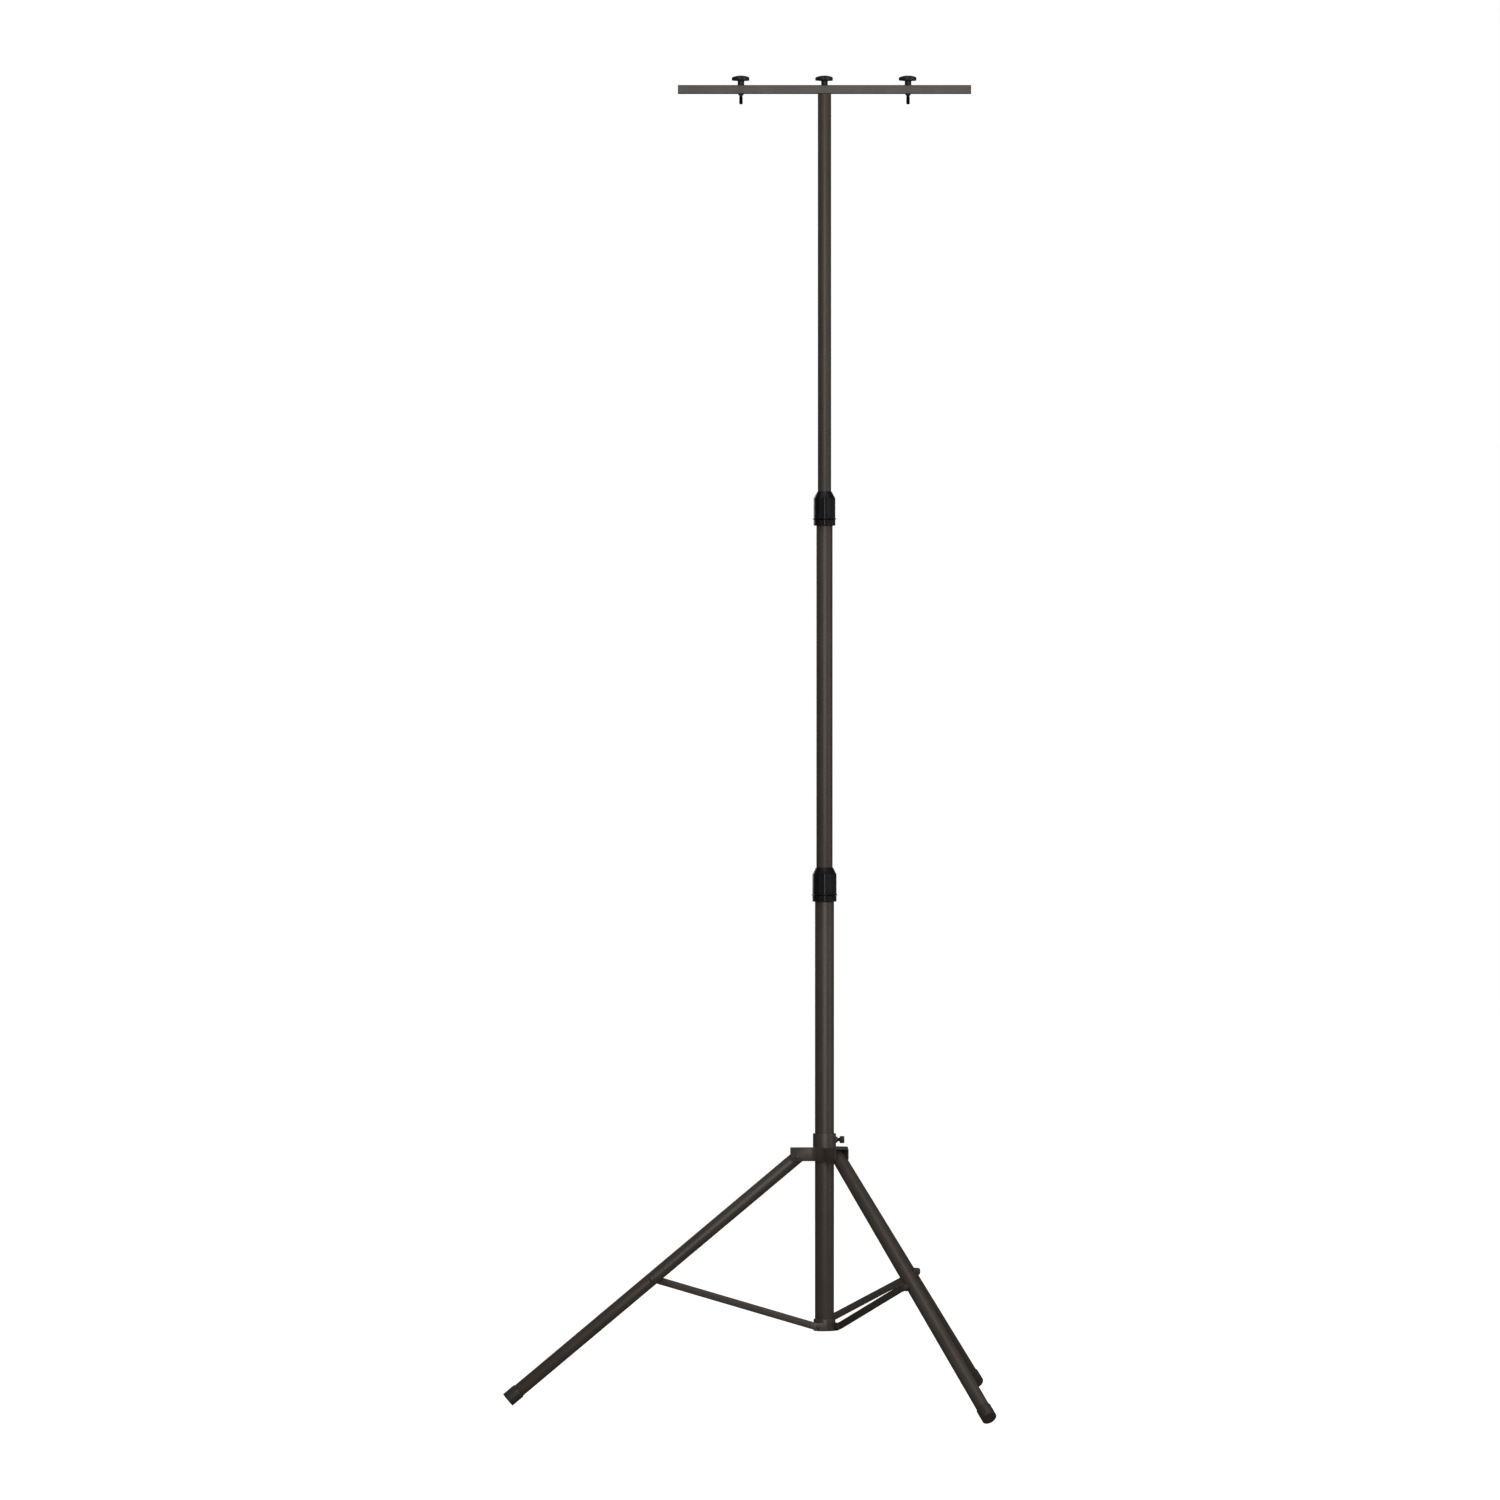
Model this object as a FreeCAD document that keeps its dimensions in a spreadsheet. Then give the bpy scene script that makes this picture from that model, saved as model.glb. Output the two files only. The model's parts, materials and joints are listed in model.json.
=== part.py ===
import FreeCAD, Part
import math
import os
import re

import Sketcher

# Telescopic tripod stand: a three-section mast on three folding legs, with a T-bar on top.
# Frame: millimetres, +Z up, origin on the floor under the mast axis. Leg 1 points along -X
# and the T-bar lies along X.

SIZES = (
    ("tube_wall", 1.5, "wall of every round tube"),
    ("lower_tube_od", 40, "lower mast tube"),
    ("tube_step", 6, "each mast tube slimmer than the one that it slides in"),
    ("lower_tube_length", 929, "lower mast tube"),
    ("mid_tube_length", 896, "middle mast tube"),
    ("top_tube_length", 938, "top mast tube"),
    ("mid_insertion", 150, "middle tube held below the top of the lower lock"),
    ("top_insertion", 105, "top tube held below the top of the upper lock"),
    ("bush_length", 26, "guide bush on the foot of a sliding tube"),
    ("bush_lip", 3, "bush under the end of its tube"),
    ("plug_length", 14, "plug in the foot of the mast"),
    ("leg_tube_od", 28, "leg tube"),
    ("leg_length", 791.6, "hinge to the outer end of the foot cap"),
    ("leg_angle", 40, "leg below the horizontal when spread, in degrees"),
    ("leg_overhang", 8, "leg tube past its hinge pin"),
    ("hinge_radius", 56.9, "mast axis to a leg hinge"),
    ("hinge_pin_od", 6.5, "leg hinge pin"),
    ("hinge_head_od", 9.8, "head of a leg hinge pin"),
    ("hinge_head_height", 2, "head of a leg hinge pin"),
    ("rivet_head_od", 12, "head of a strut rivet"),
    ("rivet_head_height", 2.4, "head of a strut rivet"),
    ("cap_od", 31.5, "foot cap"),
    ("cap_length", 30, "foot cap"),
    ("cap_floor", 3, "closed end of the foot cap"),
    ("cap_edge", 0.8, "rounding of the foot cap's edges"),
    ("strut_reach", 398, "leg hinge to strut pivot, along the leg"),
    ("strut_angle", 15.92556, "strut above the horizontal when spread, in degrees"),
    ("strut_width", 15.5, "flat bar of a strut"),
    ("strut_plate", 3, "flat bar of a strut"),
    ("strut_low_flat", 13, "straight end of a strut at the ring"),
    ("strut_high_flat", 13, "straight end of a strut at the leg"),
    ("strut_bend", 12, "radius of a strut's two bends"),
    ("strut_pin_od", 8, "rivet through leg and spacer"),
    ("spacer_od", 16, "spacer between leg and strut"),
    ("spacer_length", 8, "leg's side to the strut"),
    ("ring_wall", 3, "strut ring past the lower tube"),
    ("ring_height", 25, "strut ring"),
    ("ring_pivot", 12.9, "mast axis to a lower strut pivot, along the leg"),
    ("lug_plate", 3, "thickness of a lug"),
    ("lug_radius", 8.7, "rounded end of a lug"),
    ("lug_pin_od", 6, "rivet in a lug"),
    ("lug_pin_root", 4, "depth of that rivet in the lug"),
    ("lug_head_od", 9, "head of that rivet"),
    ("spider_width", 33, "wing of the leg spider, outside"),
    ("spider_plate", 2, "sheet of the leg spider"),
    ("spider_height", 28, "leg spider"),
    ("spider_reach", 71.7, "mast axis to the end of a wing"),
    ("spider_over_hinge", 19.7, "hinge pin to the top of the spider"),
    ("spider_blend", 22, "rounded inner corner between two wings"),
    ("wing_corner", 8, "rounded lower corner of a wing"),
    ("sleeve_wall", 4.25, "hub sleeve past the lower tube, its gap included"),
    ("sleeve_height", 57.7, "sliding hub sleeve"),
    ("sleeve_gap", 0.3, "hub sleeve round the lower tube"),
    ("screw_height", 36.3, "hinge pin to the clamp screw"),
    ("screw_od", 8, "clamp screw"),
    ("boss_od", 15, "weld nut of the clamp screw, at its base"),
    ("boss_tip_od", 12, "weld nut of the clamp screw, at its tip"),
    ("boss_height", 3.1, "weld nut past the sleeve"),
    ("thumb_start", 7.4, "sleeve to the clamp screw's head"),
    ("thumb_od", 15, "head of the clamp screw"),
    ("thumb_length", 10, "head of the clamp screw"),
    ("lock_height", 71.5, "whole twist lock"),
    ("lock_skirt", 12.4, "fixed part that shows under the nut"),
    ("lock_flange", 3, "wedge-edged flange at the foot of the nut"),
    ("lock_edge", 0.8, "blunt rim of that flange"),
    ("lock_taper", 13.5, "conical top of the nut"),
    ("lock_grip", 30, "outer tube inside its lock"),
    ("lock_neck", 2, "wall of the threaded neck"),
    ("lock_lip", 0.9, "nut's top rim outside its bore"),
    ("lock_flutes", 12, "grip flutes round a lock"),
    ("flute_depth", 0.6, "grip flute"),
    ("flute_radius", 9, "grip flute"),
    ("collet_foot", 3, "ring that carries the collet's fingers"),
    ("collet_height", 22, "collet"),
    ("collet_tip", 2, "collet's wall at its tip"),
    ("collet_slots", 6, "slits between the collet's fingers"),
    ("collet_slot", 1.5, "width of a slit"),
    ("lower_lock_wall", 5.25, "lower twist lock past the lower tube"),
    ("lower_flange_reach", 2.05, "flange past the lower lock"),
    ("upper_lock_wall", 5.75, "upper twist lock past the middle tube"),
    ("upper_flange_reach", 2.6, "flange past the upper lock"),
    ("bar_length", 614, "T-bar over its plugs"),
    ("bar_side", 18, "square tube of the T-bar"),
    ("bar_wall", 1.5, "square tube of the T-bar"),
    ("bar_edge", 1.6, "rounded edge of the T-bar"),
    ("bar_plug_plate", 1.5, "flange of a bar plug"),
    ("bar_plug_depth", 12, "bar plug inside the bar"),
    ("lamp_spacing", 350, "between the two lamp bolts"),
    ("insert_length", 32, "threaded insert in the mast's top"),
    ("bolt_od", 8, "lamp bolts and bar bolt"),
    ("thread_od", 7.9, "threaded end of a bolt"),
    ("relief_od", 6.8, "groove between shank and thread"),
    ("relief_length", 1.2, "groove between shank and thread"),
    ("bolt_drop", 22, "lamp bolt below the bar"),
    ("bolt_root", 12, "bolt inside its knob"),
    ("bolt_tip", 1.5, "chamfer at the end of a bolt"),
    ("collar_od", 11.5, "retaining collar under the bar"),
    ("collar_height", 3.4, "retaining collar under the bar"),
    ("knob_reach", 19.7, "knob axis to the end of a lobe"),
    ("knob_lobe", 9.75, "radius of a lobe"),
    ("knob_lobes", 5, "lobes of a knob"),
    ("knob_core", 31, "core of a knob's head"),
    ("knob_rim", 6.7, "straight side of a knob's head"),
    ("knob_dome", 3.8, "rise of a knob's head over its rim"),
    ("knob_valley", 4, "rounded valley between two lobes"),
    ("knob_neck_od", 13.8, "neck of a knob"),
    ("knob_neck", 9.7, "neck of a knob"),
    ("run_gap", 0.08, "pin or shaft in its bearing"),
    ("seat_gap", 0.05, "pressed, glued or welded seat"),
    ("face_gap", 0.3, "between faces that slide past each other"),
)

LEGS = ((1, 180), (2, 300), (3, 60))
START = 10.0
UP = FreeCAD.Vector(0, 0, 1)
ACROSS = FreeCAD.Vector(0, 1, 0)
TINY = 1e-3

doc = FreeCAD.newDocument("mast_tripod")
sheet = doc.addObject("Spreadsheet::Sheet", "Sizes")
aliases = []
pieces = []


def write_sizes(rows):
    """Add sizes to the sheet, each with its alias and what it is."""
    for alias, value, note in rows:
        aliases.append(alias)
        row = len(aliases)
        sheet.set(f"A{row}", note)
        sheet.set(f"B{row}", str(value))
        sheet.setAlias(f"B{row}", alias)
    doc.recompute()


def tied_sizes():
    """Work out the sizes that follow from the driving ones."""
    lower = size("lower_tube_od")
    middle = lower - size("tube_step")
    lower_lock = lower + 2 * size("lower_lock_wall")
    upper_lock = middle + 2 * size("upper_lock_wall")
    strut = strut_run() / math.cos(math.radians(size("strut_angle")))
    return (
        ("mid_tube_od", middle, "middle mast tube"),
        ("top_tube_od", middle - size("tube_step"), "top mast tube"),
        ("sleeve_od", lower + 2 * size("sleeve_wall"), "sliding hub sleeve"),
        ("ring_od", lower + 2 * size("ring_wall"), "strut ring"),
        ("lower_lock_od", lower_lock, "lower twist lock"),
        ("lower_flange_od", lower_lock + 2 * size("lower_flange_reach"), "its flange"),
        ("upper_lock_od", upper_lock, "upper twist lock"),
        ("upper_flange_od", upper_lock + 2 * size("upper_flange_reach"), "its flange"),
        ("strut_length", strut, "between the two pivots of a strut"),
    )


def size(alias):
    """Read one size back from the sheet."""
    return float(sheet.get(alias))


def formula(text):
    """Point every alias in an expression at the sheet."""
    return re.sub(r"[a-z_]+", lambda word: f"Sizes.{word[0]}" if word[0] in aliases else word[0], text)


def bind(item, prop, text):
    """Bind one property of an object to an expression."""
    item.setExpression(prop, formula(text))


def new_body(label):
    """Start a body."""
    body = doc.addObject("PartDesign::Body", label)
    body.Label = label
    return body


def keep(item, label, place=None):
    """Name a finished piece, put it in its place and list it for writing."""
    item.Label = label
    if place is not None:
        item.Placement = place
    pieces.append(item)
    return item


def origin_plane(body, role):
    """Find one of a body's own origin planes or axes by its role."""
    return next(item for item in body.Origin.OriginFeatures if item.Role == role)


def new_sketch(body, role, label, lift=None):
    """Attach a sketch to one of the body's own planes, lifted off it if asked."""
    sketch = body.newObject("Sketcher::SketchObject", f"{body.Name}_{label}")
    sketch.AttachmentSupport = (origin_plane(body, role), [""])
    sketch.MapMode = "FlatFace"
    if lift is not None:
        bind(sketch, "AttachmentOffset.Base.z", lift)
    return sketch


def pin_point(sketch, index, end, across, up):
    """Tie one point of a sketch to its two coordinates."""
    for kind, axis, text in (("DistanceX", -2, across), ("DistanceY", -1, up)):
        if text == "0":
            sketch.addConstraint(Sketcher.Constraint("PointOnObject", index, end, axis))
            continue
        row = sketch.addConstraint(Sketcher.Constraint(kind, -1, 1, index, end, START))
        bind(sketch, f"Constraints[{row}]", text)


def outline(sketch, corners):
    """Draw a closed outline through corners given as pairs of expressions."""
    first = sketch.GeometryCount
    count = len(corners)
    points = []
    for index in range(count):
        angle = 2 * math.pi * index / count
        points.append(FreeCAD.Vector(START * math.cos(angle), START * math.sin(angle), 0))
    for index in range(count):
        sketch.addGeometry(Part.LineSegment(points[index], points[(index + 1) % count]), False)
    for index in range(count):
        after = first + (index + 1) % count
        sketch.addConstraint(Sketcher.Constraint("Coincident", first + index, 2, after, 1))
    for index, (across, up) in enumerate(corners):
        pin_point(sketch, first + index, 1, across, up)


def circle(sketch, radius, across="0", up="0"):
    """Draw a circle of a given radius about a point."""
    index = sketch.addGeometry(Part.Circle(FreeCAD.Vector(START, START, 0), UP, START), False)
    pin_point(sketch, index, 3, across, up)
    row = sketch.addConstraint(Sketcher.Constraint("Radius", index, START))
    bind(sketch, f"Constraints[{row}]", radius)


def box_outline(sketch, left, right, low, high):
    """Draw an upright rectangle between four expressions."""
    outline(sketch, ((left, low), (right, low), (right, high), (left, high)))


def pad(body, sketch, length, both_ways=False):
    """Pad a sketch along its normal, or half each way."""
    feature = body.newObject("PartDesign::Pad", f"{sketch.Name}_pad")
    feature.Profile = sketch
    bind(feature, "Length", length)
    if both_ways:
        feature.SideType = "Symmetric"
    doc.recompute()
    return feature


def pocket(body, sketch, length=None, flip=False):
    """Cut a sketch out of the body, right through both ways when no length is given."""
    before = body.Shape.Volume
    feature = body.newObject("PartDesign::Pocket", f"{sketch.Name}_pocket")
    feature.Profile = sketch
    if length is None:
        feature.Type = "ThroughAll"
        feature.SideType = "Symmetric"
    else:
        bind(feature, "Length", length)
        feature.Reversed = flip
    doc.recompute()
    if not body.Shape.Volume < before - TINY:
        raise RuntimeError(f"{feature.Name} cuts nothing")
    return feature


def revolve(body, corners, label="profile", axis="V_Axis"):
    """Turn a closed outline, drawn in the XZ plane, about the Z or the X axis."""
    sketch = new_sketch(body, "XZ_Plane", label)
    outline(sketch, corners)
    feature = body.newObject("PartDesign::Revolution", f"{sketch.Name}_turn")
    feature.Profile = sketch
    feature.ReferenceAxis = (sketch, [axis])
    feature.Angle = 360
    doc.recompute()
    return feature


def pattern(body, features, count):
    """Repeat features about the body's Z axis."""
    feature = body.newObject("PartDesign::PolarPattern", f"{features[0].Name}_pattern")
    feature.Originals = features
    feature.Axis = (origin_plane(body, "Z_Axis"), [""])
    feature.Angle = 360
    bind(feature, "Occurrences", count)
    body.Tip = feature
    doc.recompute()
    return feature


def round_edges(body, feature, radius, wanted):
    """Round the edges of a feature that a test picks."""
    names = [f"Edge{n}" for n, edge in enumerate(feature.Shape.Edges, 1) if wanted(edge)]
    if not names:
        raise RuntimeError(f"{feature.Name} has no such edge")
    fillet = body.newObject("PartDesign::Fillet", f"{feature.Name}_round")
    fillet.Base = (feature, names)
    bind(fillet, "Radius", radius)
    doc.recompute()
    return fillet


def ends(edge):
    """Give the two end points of an edge."""
    return edge.Vertexes[0].Point, edge.Vertexes[-1].Point


def is_upright(edge):
    """Tell whether an edge is a straight one along Z."""
    low, high = ends(edge)
    flat = math.hypot(high.x - low.x, high.y - low.y)
    return edge.Curve.TypeId == "Part::GeomLine" and flat < TINY


def at_height(edge, height):
    """Tell whether both ends of an edge lie at a height."""
    return all(abs(point.z - height) < TINY for point in ends(edge))


def combine(kind, base, tool, label):
    """Make a boolean of two shapes."""
    result = doc.addObject(kind, label)
    result.Base = base
    result.Tool = tool
    doc.recompute()
    return result


def gather(label, items):
    """Hold several equal pieces as one node."""
    group = doc.addObject("Part::Compound", label)
    group.Links = items
    return keep(group, label)


def upright(height):
    """Place a piece on the mast axis at a height."""
    return FreeCAD.Placement(FreeCAD.Vector(0, 0, height), FreeCAD.Rotation())


def in_leg_plane(azimuth, radius, height, pitch=0.0):
    """Place a piece in the plane of one leg, pitched down by an angle in degrees."""
    turn = FreeCAD.Rotation(UP, azimuth).multiply(FreeCAD.Rotation(ACROSS, pitch))
    angle = math.radians(azimuth)
    base = FreeCAD.Vector(radius * math.cos(angle), radius * math.sin(angle), height)
    return FreeCAD.Placement(base, turn)


# --- Heights that follow from the driving dimensions ---


def hinge_height():
    """Leg hinge above the floor, with the foot caps' edges on the floor."""
    angle = math.radians(size("leg_angle"))
    corner = size("cap_od") / 2 * math.cos(angle)
    edge = size("cap_edge") * (math.sin(angle) + math.cos(angle) - 1)
    return size("leg_length") * math.sin(angle) + corner - edge


def strut_run():
    """Upper strut pivot out from the lower one, with the legs spread."""
    lean = math.cos(math.radians(size("leg_angle")))
    return size("hinge_radius") - size("ring_pivot") + size("strut_reach") * lean


def strut_rise():
    """Upper strut pivot above the lower one, with the legs spread."""
    return strut_run() * math.tan(math.radians(size("strut_angle")))


def mast_foot():
    """Underside of the mast and of the strut ring."""
    drop = size("strut_reach") * math.sin(math.radians(size("leg_angle")))
    return hinge_height() - drop - strut_rise() - size("lug_radius")


def lower_lock_foot():
    """Underside of the lower twist lock."""
    return mast_foot() + size("lower_tube_length") - size("lock_grip")


def mid_tube_foot():
    """Lower end of the middle tube, with the mast at full height."""
    return lower_lock_foot() + size("lock_height") - size("mid_insertion")


def upper_lock_foot():
    """Underside of the upper twist lock."""
    return mid_tube_foot() + size("mid_tube_length") - size("lock_grip")


def top_tube_foot():
    """Lower end of the top tube, with the mast at full height."""
    return upper_lock_foot() + size("lock_height") - size("top_insertion")


def bar_height():
    """Underside of the T-bar."""
    return top_tube_foot() + size("top_tube_length") + size("seat_gap")


# --- Mast ---


def make_tube(label, diameter, length, place):
    """Make a round tube along Z."""
    body = new_body(label)
    sketch = new_sketch(body, "XY_Plane", "section")
    circle(sketch, f"{diameter} / 2")
    circle(sketch, f"{diameter} / 2 - tube_wall")
    pad(body, sketch, length)
    return keep(body, label, place)


def make_bush(label, outer, inner, foot):
    """Make the guide bush round a tube's foot, with a lip under the tube's end."""
    body = new_body(label)
    bore = f"{inner} / 2 - tube_wall"
    skin = f"{outer} / 2 - tube_wall - run_gap"
    seat = f"{inner} / 2 + run_gap"
    lip = "-bush_lip"
    step = "-seat_gap"
    corners = ((bore, lip), (skin, lip), (skin, "bush_length - bush_lip"),
               (seat, "bush_length - bush_lip"), (seat, step), (bore, step))
    revolve(body, corners)
    return keep(body, label, upright(foot))


def make_mast_plug():
    """Make the plug that closes the foot of the mast."""
    body = new_body("mast_plug")
    sketch = new_sketch(body, "XY_Plane", "section")
    circle(sketch, "lower_tube_od / 2 - tube_wall - seat_gap")
    pad(body, sketch, "plug_length")
    keep(body, "mast_plug", upright(mast_foot()))


def make_mast_insert():
    """Make the threaded insert in the mast's top."""
    body = new_body("mast_insert")
    sketch = new_sketch(body, "XY_Plane", "section")
    circle(sketch, "top_tube_od / 2 - tube_wall - seat_gap")
    circle(sketch, "bolt_od / 2 + run_gap")
    pad(body, sketch, "insert_length")
    foot = top_tube_foot() + size("top_tube_length") - size("insert_length")
    keep(body, "mast_insert", upright(foot))


def flute(body, across, low, high):
    """Cut the shallow grip flutes round a lock, between two heights."""
    sketch = new_sketch(body, "XY_Plane", "flute", low)
    centre = f"({across} / 2 - flute_depth + flute_radius)"
    half_pitch = "180 deg / lock_flutes"
    circle(sketch, "flute_radius", f"{centre} * cos({half_pitch})", f"{centre} * sin({half_pitch})")
    cut = pocket(body, sketch, f"{high} - ({low})", flip=True)
    pattern(body, [cut], "lock_flutes")


def make_lock(name, outer, inner, across, flange, foot):
    """Make one twist lock: fixed sleeve, split collet and nut."""
    bore = f"{outer} / 2 + seat_gap"
    neck = f"{outer} / 2 + lock_neck"
    side = f"{across} / 2"
    shelf = "lock_skirt - face_gap"
    sleeve = new_body(f"{name}_lock_sleeve")
    revolve(sleeve, ((bore, "0"), (side, "0"), (side, shelf), (neck, shelf),
                     (neck, "lock_grip"), (bore, "lock_grip")))
    flute(sleeve, across, "0", shelf)
    keep(sleeve, f"{name}_lock_sleeve", upright(foot))

    grip = f"{inner} / 2 + run_gap"
    tip = f"{inner} / 2 + collet_tip"
    low = "lock_grip + seat_gap"
    ledge = "lock_grip + collet_foot"
    head = "lock_grip + collet_height"
    collet = new_body(f"{name}_lock_collet")
    revolve(collet, ((grip, low), (neck, low), (neck, ledge), (tip, head), (grip, head)))
    slot = new_sketch(collet, "XY_Plane", "slot", ledge)
    box_outline(slot, "0", neck, "-collet_slot / 2", "collet_slot / 2")
    slit = pocket(collet, slot, "collet_height", flip=True)
    pattern(collet, [slit], "collet_slots")
    keep(collet, f"{name}_lock_collet", upright(foot))

    thread = f"{outer} / 2 + lock_neck + face_gap"
    rest = f"{inner} / 2 + collet_tip + face_gap"
    mouth = f"{inner} / 2 + face_gap"
    rim = f"{inner} / 2 + face_gap + lock_lip"
    edge = f"{flange} / 2"
    brim = "lock_skirt + lock_flange"
    under = "lock_skirt + lock_flange / 2 - lock_edge / 2"
    over = "lock_skirt + lock_flange / 2 + lock_edge / 2"
    nut = new_body(f"{name}_lock_nut")
    revolve(nut, ((thread, "lock_skirt"), (side, "lock_skirt"), (edge, under), (edge, over),
                  (side, brim),
                  (side, "lock_height - lock_taper"), (rim, "lock_height"),
                  (mouth, "lock_height"), (mouth, f"{head} + face_gap"),
                  (rest, f"{head} + face_gap"), (thread, f"{ledge} + face_gap")))
    flute(nut, across, brim, "lock_height")
    keep(nut, f"{name}_lock_nut", upright(foot))


# --- Strut ring at the foot of the mast ---


def make_ring():
    """Make the ring with its three tangential lugs and their rivet holes."""
    body = new_body("strut_ring")
    disc = new_sketch(body, "XY_Plane", "disc")
    circle(disc, "ring_od / 2")
    pad(body, disc, "ring_height")
    plate = new_sketch(body, "XZ_Plane", "lug", "ring_od / 2")
    box_outline(plate, "-ring_pivot", "0", "0", "2 * lug_radius")
    arm = pad(body, plate, "-lug_plate")
    nose = new_sketch(body, "XZ_Plane", "nose", "ring_od / 2")
    circle(nose, "lug_radius", "-ring_pivot", "lug_radius")
    tip = pad(body, nose, "-lug_plate")
    pattern(body, [arm, tip], "3")
    bore = new_sketch(body, "XY_Plane", "bore")
    circle(bore, "lower_tube_od / 2 + seat_gap")
    pocket(body, bore)
    hole = new_sketch(body, "XZ_Plane", "hole", "ring_od / 2")
    circle(hole, "lug_pin_od / 2 + seat_gap", "-ring_pivot", "lug_radius")
    cut = pocket(body, hole, "lug_pin_root + seat_gap")
    pattern(body, [cut], "3")
    keep(body, "strut_ring", upright(mast_foot()))



def make_ring_rivets():
    """Make the three rivets that carry the lower ends of the struts."""
    rivets = []
    for number, azimuth in LEGS:
        body = new_body(f"ring_rivet_{number}")
        shank = new_sketch(body, "XZ_Plane", "shank", "-(ring_od / 2 - lug_pin_root)")
        circle(shank, "lug_pin_od / 2")
        pad(body, shank, "-(lug_pin_root + strut_plate + 2 * face_gap)")
        head = new_sketch(body, "XZ_Plane", "head", "-(ring_od / 2 + strut_plate + 2 * face_gap)")
        circle(head, "lug_head_od / 2")
        dome = pad(body, head, "-rivet_head_height")
        far = size("ring_od") / 2 + size("strut_plate") + 2 * size("face_gap") + size("rivet_head_height")
        round_edges(body, dome, "rivet_head_height - 0.4", lambda edge: at_depth(edge, far))
        height = mast_foot() + size("lug_radius")
        body.Placement = in_leg_plane(azimuth, size("ring_pivot"), height)
        rivets.append(body)
    gather("ring_rivets", rivets)


def at_depth(edge, depth):
    """Tell whether both ends of an edge lie at a distance along Y."""
    return all(abs(point.y - depth) < TINY for point in ends(edge))


# --- Hub: sleeve, leg spider, hinge pins and clamp screw ---


def spider_foot():
    """Underside of the leg spider and of the hub sleeve."""
    return hinge_height() + size("spider_over_hinge") - size("spider_height")


def make_spider():
    """Make the pressed spider: a web over three channel wings, with a skirt round the sleeve."""
    body = new_body("leg_spider")
    disc = new_sketch(body, "XY_Plane", "disc")
    circle(disc, "sleeve_od / 2 + spider_plate")
    pad(body, disc, "spider_height")
    block = new_sketch(body, "XY_Plane", "wing")
    box_outline(block, "-spider_reach", "0", "-spider_width / 2", "spider_width / 2")
    wing = pad(body, block, "spider_height")
    star = pattern(body, [wing], "3")
    skirt = size("sleeve_od") / 2 + size("spider_plate")
    inner = round_edges(body, star, "spider_blend",
                        lambda edge: is_upright(edge) and corner_radius(edge) < skirt + TINY)
    corner = size("spider_reach") - TINY
    foot = round_edges(body, inner, "wing_corner",
                       lambda edge: at_height(edge, 0) and wing_end(edge, corner))
    top = size("spider_height")
    round_edges(body, foot, "spider_plate - seat_gap", lambda edge: at_height(edge, top))
    bore = new_sketch(body, "XY_Plane", "bore")
    circle(bore, "sleeve_od / 2 + seat_gap")
    pocket(body, bore)
    channel = new_sketch(body, "XY_Plane", "channel")
    side = "spider_width / 2 - spider_plate"
    box_outline(channel, "-spider_reach - spider_plate", "0", f"-({side})", side)
    cut = pocket(body, channel, "spider_height - spider_plate", flip=True)
    pattern(body, [cut], "3")
    hole = new_sketch(body, "XZ_Plane", "hole")
    circle(hole, "hinge_pin_od / 2 + seat_gap", "-hinge_radius", "spider_height - spider_over_hinge")
    bearing = pocket(body, hole)
    pattern(body, [bearing], "3")
    keep(body, "leg_spider", upright(spider_foot()))


def corner_radius(edge):
    """Give the distance of an edge's end from the Z axis."""
    point = edge.Vertexes[0].Point
    return math.hypot(point.x, point.y)


def wing_end(edge, reach):
    """Tell whether an edge closes the outer end of a wing."""
    low, high = ends(edge)
    middle = (low + high) / 2
    return math.hypot(middle.x, middle.y) > reach


def make_hub_sleeve():
    """Make the sliding sleeve, with the hole for its clamp screw."""
    body = new_body("hub_sleeve")
    section = new_sketch(body, "XY_Plane", "section")
    circle(section, "sleeve_od / 2")
    circle(section, "lower_tube_od / 2 + sleeve_gap")
    pad(body, section, "sleeve_height")
    hole = new_sketch(body, "YZ_Plane", "hole")
    height = "spider_height - spider_over_hinge + screw_height"
    circle(hole, "screw_od / 2 + run_gap", "0", height)
    pocket(body, hole, "sleeve_od", flip=True)
    keep(body, "hub_sleeve", upright(spider_foot()))


def make_screw_boss():
    """Make the weld nut on the sleeve's side."""
    body = new_body("boss_blank")
    bore = "screw_od / 2 + run_gap"
    root = "lower_tube_od / 2 + sleeve_gap"
    end = "sleeve_od / 2 + boss_height"
    revolve(body, ((root, bore), (end, bore), (end, "boss_tip_od / 2"), (root, "boss_od / 2")),
            axis="H_Axis")
    sleeve = doc.addObject("Part::Cylinder", "boss_seat")
    bind(sleeve, "Radius", "sleeve_od / 2 + seat_gap")
    bind(sleeve, "Height", "2 * boss_od")
    bind(sleeve, "Placement.Base.z", "-boss_od")
    boss = combine("Part::Cut", body, sleeve, "screw_boss")
    keep(boss, "screw_boss", upright(hinge_height() + size("screw_height")))


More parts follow.
